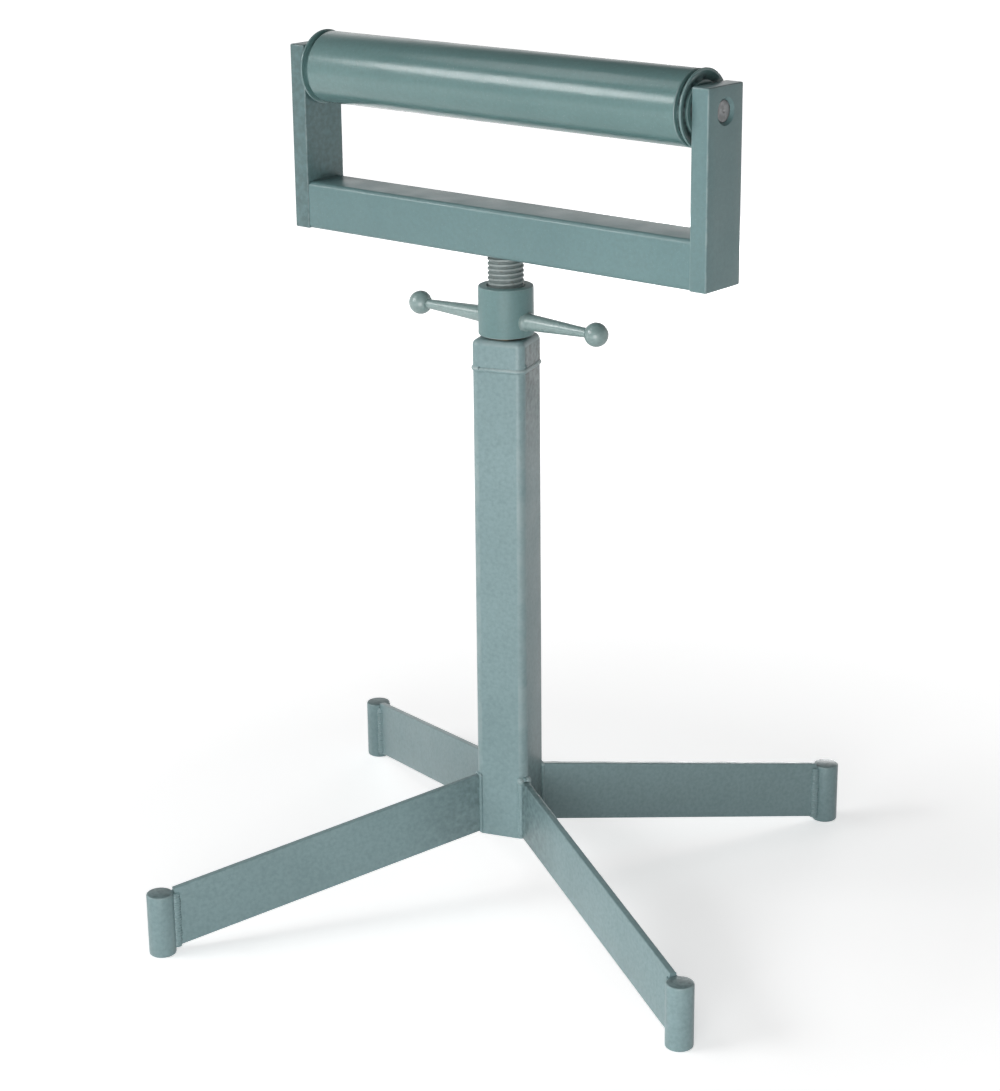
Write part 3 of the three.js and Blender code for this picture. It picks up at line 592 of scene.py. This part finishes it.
bronze = turned_metal(
    "washer_bronze", linear(84, 78, 68), linear(108, 101, 89), BRONZE_DULL, UPRIGHT_STRETCH,
)
low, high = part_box("thrust_washer")
washer_radius = min(high.x - low.x, high.y - low.y) / 2
bm = start_mesh()
turn_profile(
    bm,
    [(CAP_BORE, low.z), (washer_radius, low.z), (washer_radius, high.z), (CAP_BORE, high.z)],
    closed=True,
)
rims = turned_rim(bm, washer_radius, low.z) + turned_rim(bm, washer_radius, high.z)
soften(bm, rims, WASHER_EDGE, FINE_STEPS)
add_piece("bronze_thrust_washer", bm, bronze, "base", ["thrust_washer"])


# Spindle: a steel screw with a rolled thread, left bare and oiled, turned down above for the swivel
# pin and below for the tail. A square guide bolted under the tail slides in the column.
THREAD_CREST = 0.015
THREAD_ROOT = 0.0139
THREAD_PITCH = 0.004
THREAD_FLAT = 0.3
THREAD_STEPS = 44
THREAD_TAIL = 0.07
PIN_RADIUS = 0.01
PIN_LENGTH = 0.026
SPIGOT_RADIUS = 0.008
OIL_GRAIN = (150.0, 4.0)
OIL_SPREAD = (0.3, 0.7, -0.25, 0.25)
ROOT_COLOUR = (116, 128, 127)
CREST_COLOUR = (152, 162, 161)
FRECKLE_GRAIN = (330.0, 3.0)
FRECKLE_SPREAD = (0.56, 0.7, 0.0, 0.4)
FRECKLE_COLOUR = (112, 106, 96)
ROOT_ROUGHNESS = 0.75
CREST_ROUGHNESS = 0.58
ROLLED_GRAIN = (700.0, 2.0)
ROLLED_DEPTH = 0.00006
ROLLED_METAL = 0.25
PLAIN_DULL = 0.4


def thread_steel(name):
    """Rolled and oiled steel: paler at the crests, darker towards the roots, a few brown freckles."""
    material, tree, shader = new_finish(name)
    place = place_of(tree)
    across = tree.nodes.new("ShaderNodeVectorMath")
    across.operation = "MULTIPLY"
    across.inputs[1].default_value = (1, 1, 0)
    tree.links.new(place, across.inputs[0])
    radius = tree.nodes.new("ShaderNodeVectorMath")
    radius.operation = "LENGTH"
    tree.links.new(across.outputs["Vector"], radius.inputs[0])
    crest = spread(tree, radius.outputs["Value"], THREAD_ROOT, THREAD_CREST, 0.0, 1.0)
    patches = pattern(tree, place, OIL_GRAIN, OIL_SPREAD)
    bare = calculate(tree, "ADD", crest, patches)
    colour = blend_colours(tree, bare, linear(*ROOT_COLOUR), linear(*CREST_COLOUR))
    freckles = pattern(tree, place, FRECKLE_GRAIN, FRECKLE_SPREAD)
    colour = blend_colours(tree, freckles, colour, linear(*FRECKLE_COLOUR))
    tree.links.new(colour, shader.inputs["Base Color"])
    rough = spread(tree, bare, 0.0, 1.0, ROOT_ROUGHNESS, CREST_ROUGHNESS)
    tree.links.new(rough, shader.inputs["Roughness"])
    skin = relief(tree, noise(tree, place, *ROLLED_GRAIN), ROLLED_DEPTH)
    tree.links.new(skin, shader.inputs["Normal"])
    shader.inputs["Metallic"].default_value = ROLLED_METAL
    return material


def cylinder(bm, radius, bottom, top):
    bmesh.ops.create_cone(
        bm, cap_ends=True, segments=TURNED_STEPS, radius1=radius, radius2=radius, depth=top - bottom,
        matrix=Matrix.Translation((0, 0, (top + bottom) / 2)),
    )


rolled_steel = thread_steel("oiled_thread_steel")
spindle_low, spindle_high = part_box("spindle")
thread_top = spindle_high.z - PIN_LENGTH
_, guide_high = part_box("spindle_guide")
tail_bottom = guide_high.z
thread_bottom = tail_bottom + THREAD_TAIL
flank = (0.5 - THREAD_FLAT) * THREAD_PITCH
flat = THREAD_FLAT * THREAD_PITCH
outline = [
    (THREAD_ROOT, 0.0),
    (THREAD_ROOT, flat),
    (THREAD_CREST, flat + flank),
    (THREAD_CREST, 2 * flat + flank),
    (THREAD_ROOT, THREAD_PITCH),
]
thread_start = thread_bottom - 2 * THREAD_PITCH
bm = start_mesh()
verts = [bm.verts.new((radius, 0, thread_start + height)) for radius, height in outline]
edges = [bm.edges.new(pair) for pair in zip(verts, verts[1:])]
bmesh.ops.spin(
    bm, geom=verts + edges, cent=(0, 0, 0), axis=(0, 0, 1), dvec=(0, 0, THREAD_PITCH / THREAD_STEPS),
    angle=2 * math.pi, steps=THREAD_STEPS,
)
wound = THREAD_PITCH
while thread_start + wound < thread_top + THREAD_PITCH:
    copied = bmesh.ops.duplicate(bm, geom=everything(bm))["geom"]
    raised = [g for g in copied if isinstance(g, bmesh.types.BMVert)]
    bmesh.ops.translate(bm, vec=(0, 0, wound), verts=raised)
    wound *= 2
bmesh.ops.remove_doubles(bm, verts=bm.verts, dist=MERGE)
for height, away in ((thread_top, 1), (thread_bottom, -1)):
    bmesh.ops.bisect_plane(
        bm, geom=everything(bm), plane_co=(0, 0, height), plane_no=(0, 0, away), clear_outer=True,
    )
    rim = [e for e in level_edges(bm, height) if e.is_boundary]
    bmesh.ops.contextual_create(bm, geom=rim)
cylinder(bm, PIN_RADIUS, thread_top, spindle_high.z)
cylinder(bm, THREAD_ROOT, tail_bottom, thread_bottom)
cylinder(bm, SPIGOT_RADIUS, spindle_low.z, tail_bottom)
add_piece("threaded_spindle", bm, rolled_steel, "screw", ["spindle"])


def finish_node(node, finish):
    """Gives a hidden solid a finish, and shows it as it is."""
    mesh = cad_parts[node].data
    mesh.materials.clear()
    mesh.materials.append(finish)


plain_steel = turned_metal(
    "plain_turned_steel", linear(122, 120, 116), linear(164, 163, 159), PLAIN_DULL, UPRIGHT_STRETCH,
)
for node in ("spindle_guide", "guide_washer", "guide_bolt"):
    finish_node(node, plain_steel)


# Collar nut: a thick turned steel collar, threaded inside, that lifts the screw as it is turned.
# Its two arms taper to turned balls, and are let into the collar and welded.
# The arms' and balls' enamel is glossier than the collar's, and paler, partly from wear by hands and partly
# as painted highlight.
NUT_CHAMFER = 0.0012
NUT_CHAMFER_STEPS = 4
NUT_BORE = 0.0152
NUT_MOUTH = 0.0162
MOUTH_DEPTH = 0.0012
ARM_RADIUS = 0.007
ARM_TIP = 0.004
ARM_FILLET = 0.0026
ARM_FILLET_LENGTH = 0.0042
ARM_FILLET_START = 0.0012
ARM_FILLET_STEPS = 6
ARM_BURIED = 0.004
BALL_RADIUS = 0.01
BALL_NECK = 0.0052
BALL_SEGMENTS = 64
BALL_RINGS = 40
BALL_EDGE = 0.0006
BALL_EDGE_STEPS = 3
NECK_LENGTH = 0.0012
ENDS = {"right": 1, "left": -1}


def lying_along_x(height, side):
    """Lays a turned body on its side at a height, with its upper end to the right or to the left."""
    return Matrix.Translation((0, 0, height)) @ Matrix.Rotation(side * math.pi / 2, 4, "Y")


def reach_along_x(low, high):
    """How far a box's near and far faces lie from the middle."""
    return sorted((abs(low.x), abs(high.x)))


nut_enamel = enamel("nut_enamel", linear(104, 136, 137), linear(115, 147, 147), gloss=0.48)
# Paler than the collar's enamel, partly wear and partly painted highlight.
pale_lit_handle_enamel = enamel(
    "pale_lit_handle_enamel", linear(134, 158, 156), linear(150, 172, 170), gloss=0.28, shine=0.8,
)
low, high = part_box("lifting_nut")
nut_radius = (high.x - low.x) / 2
bm = start_mesh()
turn_profile(bm, [
    (NUT_BORE, low.z),
    (nut_radius, low.z),
    (nut_radius, high.z),
    (NUT_MOUTH, high.z),
    (NUT_BORE, high.z - MOUTH_DEPTH),
], closed=True)
rims = turned_rim(bm, nut_radius, low.z) + turned_rim(bm, nut_radius, high.z)
soften(bm, rims, NUT_CHAMFER, NUT_CHAMFER_STEPS)
add_piece("collar_nut", bm, nut_enamel, "nut", ["lifting_nut"])

for end, side in ENDS.items():
    low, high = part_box("handle_ball_" + end)
    _, far = reach_along_x(low, high)
    ball_reach = far - BALL_RADIUS
    neck = ball_reach - math.sqrt(BALL_RADIUS ** 2 - BALL_NECK ** 2)
    along_arm = lying_along_x((low.z + high.z) / 2, side)
    buried = nut_radius - ARM_BURIED
    profile = [(0, buried), (ARM_RADIUS + ARM_FILLET, buried)]
    for index in range(ARM_FILLET_STEPS + 1):
        angle = math.pi / 2 * index / ARM_FILLET_STEPS
        swell = ARM_FILLET * (1 - math.sin(angle))
        rise = ARM_FILLET_LENGTH * (1 - math.cos(angle))
        profile.append((ARM_RADIUS + swell, nut_radius - ARM_FILLET_START + rise))
    bm = start_mesh()
    turn_profile(bm, profile + [(ARM_TIP, neck - NECK_LENGTH), (ARM_TIP, neck), (0, neck)])
    add_piece("tapered_arm_" + end, bm, pale_lit_handle_enamel, "nut", ["handle_arm_" + end], along_arm)

    bm = start_mesh()
    bmesh.ops.create_uvsphere(bm, u_segments=BALL_SEGMENTS, v_segments=BALL_RINGS, radius=BALL_RADIUS)
    cut = (0, 0, neck - ball_reach)
    bmesh.ops.bisect_plane(bm, geom=everything(bm), plane_co=cut, plane_no=(0, 0, -1), clear_outer=True)
    rim = [e for e in bm.edges if e.is_boundary]
    flat_face = bmesh.ops.contextual_create(bm, geom=rim)["faces"]
    soften(bm, flat_face[0].edges[:], BALL_EDGE, BALL_EDGE_STEPS)
    bmesh.ops.translate(bm, vec=(0, 0, ball_reach), verts=bm.verts)
    add_piece("handle_end_ball_" + end, bm, pale_lit_handle_enamel, "nut", ["handle_ball_" + end], along_arm)


# Cross rail: a length of rectangular steel tube with rolled corners, drilled below for the swivel pin.
# A turned socket stands in it round the pin, so that the head swings round on the screw.
RAIL_WALL = 0.003
RAIL_CORNER = 0.004
RAIL_CORNER_STEPS = 8
RAIL_END_GAP = 0.0003
PIN_HOLE = 0.0104
PIN_PATCH = 0.0125

# The head's copy of the stand's one enamel has a darker tone than the base's, as painted shade.
shaded_head_enamel = enamel("shaded_head_enamel", linear(102, 134, 136), linear(113, 145, 147), gloss=0.33)
rail_low, rail_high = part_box("cross_rail")
rail_size = rail_high - rail_low
opening_half = rail_high.x + RAIL_END_GAP
bm = start_mesh()
bmesh.ops.create_cube(bm, size=1.0)
bmesh.ops.scale(bm, vec=(2 * opening_half, rail_size.y, rail_size.z), verts=bm.verts)
bmesh.ops.translate(bm, vec=(0, 0, rail_low.z + rail_size.z / 2), verts=bm.verts)
long_edges = [e for e in bm.edges if abs(e.verts[0].co.x - e.verts[1].co.x) > opening_half]
soften(bm, long_edges, RAIL_CORNER, RAIL_CORNER_STEPS)
ends = [f for f in bm.faces if abs(f.normal.x) > END_FACING]
bmesh.ops.delete(bm, geom=ends, context="FACES")
drill(bm, Vector((0, 0, rail_low.z)), PIN_HOLE, PIN_PATCH)
bmesh.ops.solidify(bm, geom=bm.faces[:], thickness=RAIL_WALL)
add_piece("rectangular_cross_rail", bm, shaded_head_enamel, "head", ["cross_rail"])
finish_node("swivel_socket", plain_steel)


# Uprights: two lengths of flat steel bar, drilled near the top for the axle and welded to the rail's ends.
# The edges are dressed with a file, and the holes are countersunk on the outside.
# Both are sprayed with the rail, and the left one is painted darker, as shade.
UPRIGHT_EDGE = 0.0014
UPRIGHT_EDGE_STEPS = 4
AXLE_HOLE = 0.00865
AXLE_PATCH = 0.0112
OUTSIDE_HOLE = 1.2 * AXLE_HOLE
HOLE_RIM = 1.05 * AXLE_HOLE
COUNTERSINK = 0.0023
COUNTERSINK_STEPS = 1
UPRIGHT_SHADE = {"right": 0.1, "left": 0.6}

axle_low, axle_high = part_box("axle")
axle_height = (axle_low.z + axle_high.z) / 2
for end, side in ENDS.items():
    low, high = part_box("upright_" + end)
    thickness = high.x - low.x
    middle = (low + high) / 2
    bm = start_mesh()
    hole = Vector((middle.z - axle_height, 0, 0))
    flat_plate(bm, high.z - low.z, high.y - low.y)
    drill(bm, hole, AXLE_HOLE, AXLE_PATCH)
    thicken(bm, thickness)
    outer_rim = [
        e for e in bm.edges
        if e.calc_face_angle(0) > FOLD_ANGLE
        and min((v.co.xy - hole.xy).length for v in e.verts) > OUTSIDE_HOLE
    ]
    soften(bm, outer_rim, UPRIGHT_EDGE, UPRIGHT_EDGE_STEPS)
    sink = [
        e for e in level_edges(bm, thickness)
        if max((v.co.xy - hole.xy).length for v in e.verts) < HOLE_RIM
    ]
    soften(bm, sink, COUNTERSINK, COUNTERSINK_STEPS)
    mark(bm, bm.verts, "painted_shade", UPRIGHT_SHADE[end])
    stand_up = Matrix.Rotation(math.pi / 2, 4, "Y")
    face_out = Matrix.Rotation(0 if side > 0 else math.pi, 4, "Z")
    near, _ = reach_along_x(low, high)
    inner_face = Matrix.Translation((side * near, middle.y, middle.z))
    add_piece(
        "bar_upright_" + end, bm, shaded_head_enamel, "head", ["upright_" + end],
        inner_face @ face_out @ stand_up,
    )


# Axle: a ground steel bar pressed through both uprights, its bare ends just inside their outer faces.
# A spring ring in a groove at each end, and a short spacer, keep the bearings in place.
AXLE_CHAMFER = 0.001
CENTRE_HOLE = 0.0016
RING_OPENING = math.radians(70)
RING_STEPS = 80
SPACER_EDGE = 0.0003
SPACER_FIT = 0.0001
GROOVE_DEPTH = 0.0006
GROOVE_FIT = 0.0001
FACED_RINGS = 520.0
FACED_DISTORTION = 1.2
FACED_DEPTH = 0.00004
FACED_METAL = 0.85
FILM_GRAIN = (240.0, 4.0)
FILM_SPREAD = (0.35, 0.65, 0.0, 1.0)
FILM_COLOUR = (112, 114, 115)
FACED_COLOUR = (138, 140, 141)
FILM_ROUGHNESS = 0.5
FACED_ROUGHNESS = 0.36
ALONG_STRETCH = (8.0, 0.25, 0.25)
SPRING_DULL = 0.34
SPACER_DULL = 0.38


def ground_steel(name):
    """A sawn and faced bar end: turning rings about the axle and a patchy film of oil."""
    material, tree, shader = new_finish(name)
    place = place_of(tree)
    centred = tree.nodes.new("ShaderNodeMapping")
    centred.inputs["Location"].default_value = (0, 0, -axle_height)
    tree.links.new(place, centred.inputs["Vector"])
    wave = tree.nodes.new("ShaderNodeTexWave")
    wave.wave_type = "RINGS"
    wave.rings_direction = "X"
    wave.inputs["Scale"].default_value = FACED_RINGS
    wave.inputs["Distortion"].default_value = FACED_DISTORTION
    tree.links.new(centred.outputs["Vector"], wave.inputs["Vector"])
    film = pattern(tree, place, FILM_GRAIN, FILM_SPREAD)
    colour = blend_colours(tree, film, linear(*FILM_COLOUR), linear(*FACED_COLOUR))
    tree.links.new(colour, shader.inputs["Base Color"])
    rough = spread(tree, film, 0.0, 1.0, FILM_ROUGHNESS, FACED_ROUGHNESS)
    tree.links.new(rough, shader.inputs["Roughness"])
    tree.links.new(relief(tree, wave.outputs["Fac"], FACED_DEPTH), shader.inputs["Normal"])
    shader.inputs["Metallic"].default_value = FACED_METAL
    return material


axle_steel = ground_steel("axle_steel")
along_axle = {end: lying_along_x(axle_height, side) for end, side in ENDS.items()}
axle_radius = (axle_high.z - axle_low.z) / 2
axle_half = axle_high.x
ring_low, ring_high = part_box("retaining_ring_right")
groove_radius = axle_radius - GROOVE_DEPTH
groove_near = ring_low.x - GROOVE_FIT
groove_far = ring_high.x + GROOVE_FIT
profile = [
    (axle_radius, groove_near),
    (groove_radius, groove_near),
    (groove_radius, groove_far),
    (axle_radius, groove_far),
    (axle_radius, axle_half),
    (CENTRE_HOLE, axle_half),
    (0, axle_half - CENTRE_HOLE),
]
bm = start_mesh()
turn_profile(bm, [(radius, -reach) for radius, reach in reversed(profile)] + profile)
rims = turned_rim(bm, axle_radius, axle_half) + turned_rim(bm, axle_radius, -axle_half)
soften(bm, rims, AXLE_CHAMFER, FINE_STEPS)
add_piece("roller_axle", bm, axle_steel, "head", ["axle"], along_axle["right"])

spring_steel = turned_metal(
    "spring_steel", linear(96, 98, 102), linear(134, 137, 141), SPRING_DULL, ALONG_STRETCH,
)
spacer_steel = turned_metal(
    "spacer_steel", linear(120, 120, 118), linear(160, 161, 160), SPACER_DULL, ALONG_STRETCH,
)
for end in ENDS:
    low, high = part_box("retaining_ring_" + end)
    near, far = reach_along_x(low, high)
    ring_radius = (high.z - low.z) / 2
    bm = start_mesh()
    corners = [(groove_radius, near), (ring_radius, near), (ring_radius, far), (groove_radius, far)]
    section = bm.faces.new([bm.verts.new((radius, 0, reach)) for radius, reach in corners])
    bmesh.ops.rotate(
        bm, cent=(0, 0, 0), matrix=Matrix.Rotation(RING_OPENING / 2, 3, "Z"), verts=bm.verts,
    )
    bmesh.ops.spin(
        bm, geom=[section], cent=(0, 0, 0), axis=(0, 0, 1), angle=2 * math.pi - RING_OPENING,
        steps=RING_STEPS,
    )
    add_piece(
        "spring_ring_" + end, bm, spring_steel, "head", ["retaining_ring_" + end],
        along_axle[end],
    )

    low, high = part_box("axle_spacer_" + end)
    near, far = reach_along_x(low, high)
    spacer_radius = (high.z - low.z) / 2
    spacer_bore = axle_radius + SPACER_FIT
    bm = start_mesh()
    turn_profile(
        bm,
        [(spacer_bore, near), (spacer_radius, near), (spacer_radius, far), (spacer_bore, far)],
        closed=True,
    )
    soften(bm, turned_rim(bm, spacer_radius, far), SPACER_EDGE, FINE_STEPS)
    add_piece(
        "turned_spacer_" + end, bm, spacer_steel, "head", ["axle_spacer_" + end],
        along_axle[end],
    )


# Bearings: one sealed-for-life deep-groove ball bearing in each end of the roller.
# Hardened races and balls, a moulded cage and a pressed steel shield on the outside.
# They are hidden in the roller, so their solids only take a finish.
BEARING_BALLS = 8
BEARING_DULL = 0.22
SHIELD_DULL = 0.3
CAGE_GRAIN = (120.0, 3.0)
CAGE_SPREAD = (0.3, 0.7, 0.0, 1.0)
CAGE_DEEP = (203, 194, 168)
CAGE_PALE = (220, 213, 192)
CAGE_DULL_GRAIN = (400.0, 2.0)
CAGE_DULL_SPREAD = (0.3, 0.7, 0.5, 0.65)
SPARK_GRAIN = (900.0, 2.0)
SPARK_DEPTH = 0.00004


def cage_plastic(name):
    """Moulded natural plastic, a little cloudy, with a fine sparked surface."""
    material, tree, shader = new_finish(name)
    place = place_of(tree)
    clouds = pattern(tree, place, CAGE_GRAIN, CAGE_SPREAD)
    colour = blend_colours(tree, clouds, linear(*CAGE_DEEP), linear(*CAGE_PALE))
    tree.links.new(colour, shader.inputs["Base Color"])
    rough = pattern(tree, place, CAGE_DULL_GRAIN, CAGE_DULL_SPREAD)
    tree.links.new(rough, shader.inputs["Roughness"])
    sparked = relief(tree, noise(tree, place, *SPARK_GRAIN), SPARK_DEPTH)
    tree.links.new(sparked, shader.inputs["Normal"])
    return material


bearing_steel = turned_metal(
    "bearing_steel", linear(168, 171, 174), linear(198, 201, 204), BEARING_DULL, ALONG_STRETCH,
)
shield_steel = turned_metal(
    "shield_steel", linear(120, 124, 128), linear(158, 162, 166), SHIELD_DULL, ALONG_STRETCH,
)
moulded_cage = cage_plastic("moulded_cage")
for end in ENDS:
    finish_node("bearing_inner_race_" + end, bearing_steel)
    finish_node("bearing_outer_race_" + end, bearing_steel)
    finish_node("bearing_shield_" + end, shield_steel)
    finish_node("bearing_cage_" + end, moulded_cage)
    for number in range(1, BEARING_BALLS + 1):
        finish_node(f"bearing_ball_{end}_{number}", bearing_steel)


# Roller: a length of seamless steel tube with rounded ends, closed by two turned end housings.
# Each housing has a flange on a neck against the tube, and a dished recess round its bearing's hub.
# All of it is sprayed with glossier enamel, pale at the flanges' rims, partly wear and partly painted
# highlight. The right housing's neck groove and recess are painted dark, as shade.
ROLLER_EDGE = 0.001
ROLLER_EDGE_STEPS = 4
ROLLER_WALL = 0.003
ROLLER_STEPS = 160
FLANGE_THICKNESS = 0.0018
FLANGE_EDGE = 0.0006
FLANGE_EDGE_STEPS = 4
FLANGE_LAND = 0.0018
FLANGE_NECK = 0.0265
FLANGE_NECK_LENGTH = 0.0049
HOUSING_RECESS = 0.0028
RECESS_FLOOR = 0.0015
HUB_RADIUS = 0.02185
HUB_RECESS = 0.0003
HUB_EDGE = 0.0006
HUB_EDGE_STEPS = 3
BEARING_SEAT = 0.01765
SLEEVE_FIT = 0.00015
HOUSING_SHADE = {"right": 1.3, "left": 0.0}

low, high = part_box("roller_tube")
roller_radius = (high.z - low.z) / 2
tube_half = high.x
roller_bore = roller_radius - ROLLER_WALL
bm = start_mesh()
turn_profile(bm, [
    (roller_bore, -tube_half),
    (roller_radius, -tube_half),
    (roller_radius, tube_half),
    (roller_bore, tube_half),
], closed=True, steps=ROLLER_STEPS)
ends = turned_rim(bm, roller_radius, -tube_half) + turned_rim(bm, roller_radius, tube_half)
soften(bm, ends, ROLLER_EDGE, ROLLER_EDGE_STEPS)
roller_enamel = enamel("roller_enamel", linear(100, 134, 133), linear(110, 144, 143), gloss=0.19)
add_piece("roller_shell", bm, roller_enamel, "roller", ["roller_tube"], along_axle["right"])

for end in ENDS:
    low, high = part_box("roller_housing_" + end)
    back, face = reach_along_x(low, high)
    flange_radius = (high.z - low.z) / 2
    land_radius = flange_radius - FLANGE_LAND
    sleeve_radius = roller_bore - SLEEVE_FIT
    neck_end = face - FLANGE_THICKNESS - FLANGE_NECK_LENGTH
    bm = start_mesh()
    turn_profile(bm, [
        (BEARING_SEAT, back),
        (sleeve_radius, back),
        (sleeve_radius, neck_end),
        (FLANGE_NECK, neck_end),
        (FLANGE_NECK, face - FLANGE_THICKNESS),
        (flange_radius, face - FLANGE_THICKNESS),
        (flange_radius, face),
        (land_radius, face),
        (HUB_RADIUS + RECESS_FLOOR, face - HOUSING_RECESS),
        (HUB_RADIUS, face - HOUSING_RECESS),
        (HUB_RADIUS, face - HUB_RECESS),
        (BEARING_SEAT, face - HUB_RECESS),
    ], closed=True, steps=ROLLER_STEPS)
    rims = turned_rim(bm, flange_radius, face) + turned_rim(bm, flange_radius, face - FLANGE_THICKNESS)
    soften(bm, rims, FLANGE_EDGE, FLANGE_EDGE_STEPS)
    lips = turned_rim(bm, land_radius, face) + turned_rim(bm, HUB_RADIUS, face - HUB_RECESS)
    soften(bm, lips, HUB_EDGE, HUB_EDGE_STEPS)
    groove = [v for v in bm.verts if abs(v.co.xy.length - FLANGE_NECK) < TURNED_SLACK]
    recess = [v for v in bm.verts if abs(v.co.z - face + HOUSING_RECESS) < TURNED_SLACK]
    mark(bm, groove + recess, "painted_shade", HOUSING_SHADE[end])
    add_piece(
        "flanged_housing_" + end, bm, roller_enamel, "roller", ["roller_housing_" + end],
        along_axle[end],
    )


# Studio: a pale floor that fades into a white surround, with soft lamps to the left, above, beside the
# camera and behind, and the camera at the height and angle of the photograph.
CAMERA_AZIMUTH = math.radians(40.12)
CAMERA_PITCH = math.radians(18.47)
CAMERA_ROLL = math.radians(-0.58)
CAMERA_DISTANCE = 2.177
CAMERA_TARGET_SIDE = -0.00696
CAMERA_TARGET_HEIGHT = 0.3139
CAMERA_LENS = 84.72
CAMERA_SENSOR = 36.0
CAMERA_CLIP = 50.0
WHITE = (1, 1, 1, 1)
FLOOR_RADIUS = 9.0
FLOOR_SIDES = 96
FLOOR_COLOUR = (0.9, 0.9, 0.9, 1)
FLOOR_ROUGHNESS = 0.9
FADE_START = 0.4
FADE_END = 1.6
FADE_LEAST = 0.58
HORIZON_LIGHT = 0.2
ZENITH_LIGHT = 0.06
CEILING_START = 0.34
CEILING_END = 0.6
CEILING_SHADE = 0.12
LAMP_TARGET = Vector((0, 0, 0.4))

# Each lamp's azimuth and elevation in degrees, distance, width and height in metres, and power in watts.
LAMPS = {
    "left_softbox": (-127, 26, 4.0, 2.6, 1.2, 62),
    "upper_softbox": (-150, 55, 4.0, 2.0, 1.5, 14),
    "front_softbox": (-58, -3, 1.7, 1.0, 1.0, 15.2),
    "back_softbox": (112, 0, 3.0, 1.6, 0.7, 20),
}


def seen_directly(tree):
    """1 for rays from the camera and for mirror or clear images, 0 for the light that falls on things."""
    path = tree.nodes.new("ShaderNodeLightPath")
    shown = calculate(tree, "MAXIMUM", path.outputs["Is Camera Ray"], path.outputs["Is Glossy Ray"])
    return calculate(tree, "MAXIMUM", shown, path.outputs["Is Transmission Ray"])


def soft_lamp(name, azimuth, elevation, distance, width, height, power):
    azimuth = math.radians(azimuth)
    elevation = math.radians(elevation)
    lamp = bpy.data.lights.new(name, "AREA")
    lamp.shape = "ELLIPSE"
    lamp.size = width
    lamp.size_y = height
    lamp.energy = power
    way = Vector((
        math.cos(azimuth) * math.cos(elevation), math.sin(azimuth) * math.cos(elevation), math.sin(elevation),
    ))
    holder = bpy.data.objects.new(name, lamp)
    turn = way.to_track_quat("Z", "Y").to_matrix().to_4x4()
    holder.matrix_world = Matrix.Translation(LAMP_TARGET + distance * way) @ turn
    bpy.context.scene.collection.objects.link(holder)


scene = bpy.context.scene
scene.view_settings.view_transform = "Standard"

world = bpy.data.worlds.new("white_surround")
scene.world = world
world.use_nodes = True
surround = world.node_tree.nodes["Background"]
surround.inputs["Color"].default_value = WHITE
tree = world.node_tree
height = tree.nodes.new("ShaderNodeSeparateXYZ")
tree.links.new(tree.nodes.new("ShaderNodeTexCoord").outputs["Generated"], height.inputs["Vector"])
daylight = spread(tree, height.outputs["Z"], 0.0, 1.0, HORIZON_LIGHT, ZENITH_LIGHT)
backdrop = spread(tree, height.outputs["Z"], CEILING_START, CEILING_END, 1.0, CEILING_SHADE)
shown = calculate(tree, "MULTIPLY", backdrop, seen_directly(tree))
tree.links.new(calculate(tree, "MAXIMUM", daylight, shown), surround.inputs["Strength"])

floor_finish, tree, floor_shader = new_finish("pale_floor")
floor_shader.inputs["Base Color"].default_value = FLOOR_COLOUR
floor_shader.inputs["Roughness"].default_value = FLOOR_ROUGHNESS
floor_shader.inputs["Specular IOR Level"].default_value = 0.0
floor_shader.inputs["Emission Color"].default_value = WHITE
distance = tree.nodes.new("ShaderNodeVectorMath")
distance.operation = "LENGTH"
tree.links.new(place_of(tree), distance.inputs[0])
fade = spread(tree, distance.outputs["Value"], FADE_START, FADE_END, FADE_LEAST, 1.0)
glow = calculate(tree, "MULTIPLY", fade, seen_directly(tree))
tree.links.new(glow, floor_shader.inputs["Emission Strength"])
floor_mesh = bpy.data.meshes.new("studio_floor")
bm = bmesh.new()
bmesh.ops.create_circle(bm, cap_ends=True, segments=FLOOR_SIDES, radius=FLOOR_RADIUS)
bm.to_mesh(floor_mesh)
bm.free()
floor_mesh.materials.append(floor_finish)
floor = bpy.data.objects.new("studio_floor", floor_mesh)
scene.collection.objects.link(floor)

for name, settings in LAMPS.items():
    soft_lamp(name, *settings)

ahead = Vector((
    -math.sin(CAMERA_AZIMUTH) * math.cos(CAMERA_PITCH),
    math.cos(CAMERA_AZIMUTH) * math.cos(CAMERA_PITCH),
    -math.sin(CAMERA_PITCH),
))
right = Vector((math.cos(CAMERA_AZIMUTH), math.sin(CAMERA_AZIMUTH), 0))
above = right.cross(ahead)
rolled_right = math.cos(CAMERA_ROLL) * right + math.sin(CAMERA_ROLL) * above
rolled_above = math.cos(CAMERA_ROLL) * above - math.sin(CAMERA_ROLL) * right
target = CAMERA_TARGET_SIDE * right + Vector((0, 0, CAMERA_TARGET_HEIGHT))
camera = bpy.data.objects.new("photo_camera", bpy.data.cameras.new("photo_camera"))
camera.data.lens = CAMERA_LENS
camera.data.sensor_width = CAMERA_SENSOR
camera.data.clip_end = CAMERA_CLIP
facing = Matrix((rolled_right, rolled_above, -ahead)).transposed().to_4x4()
camera.matrix_world = Matrix.Translation(target - CAMERA_DISTANCE * ahead) @ facing
scene.collection.objects.link(camera)
scene.camera = camera
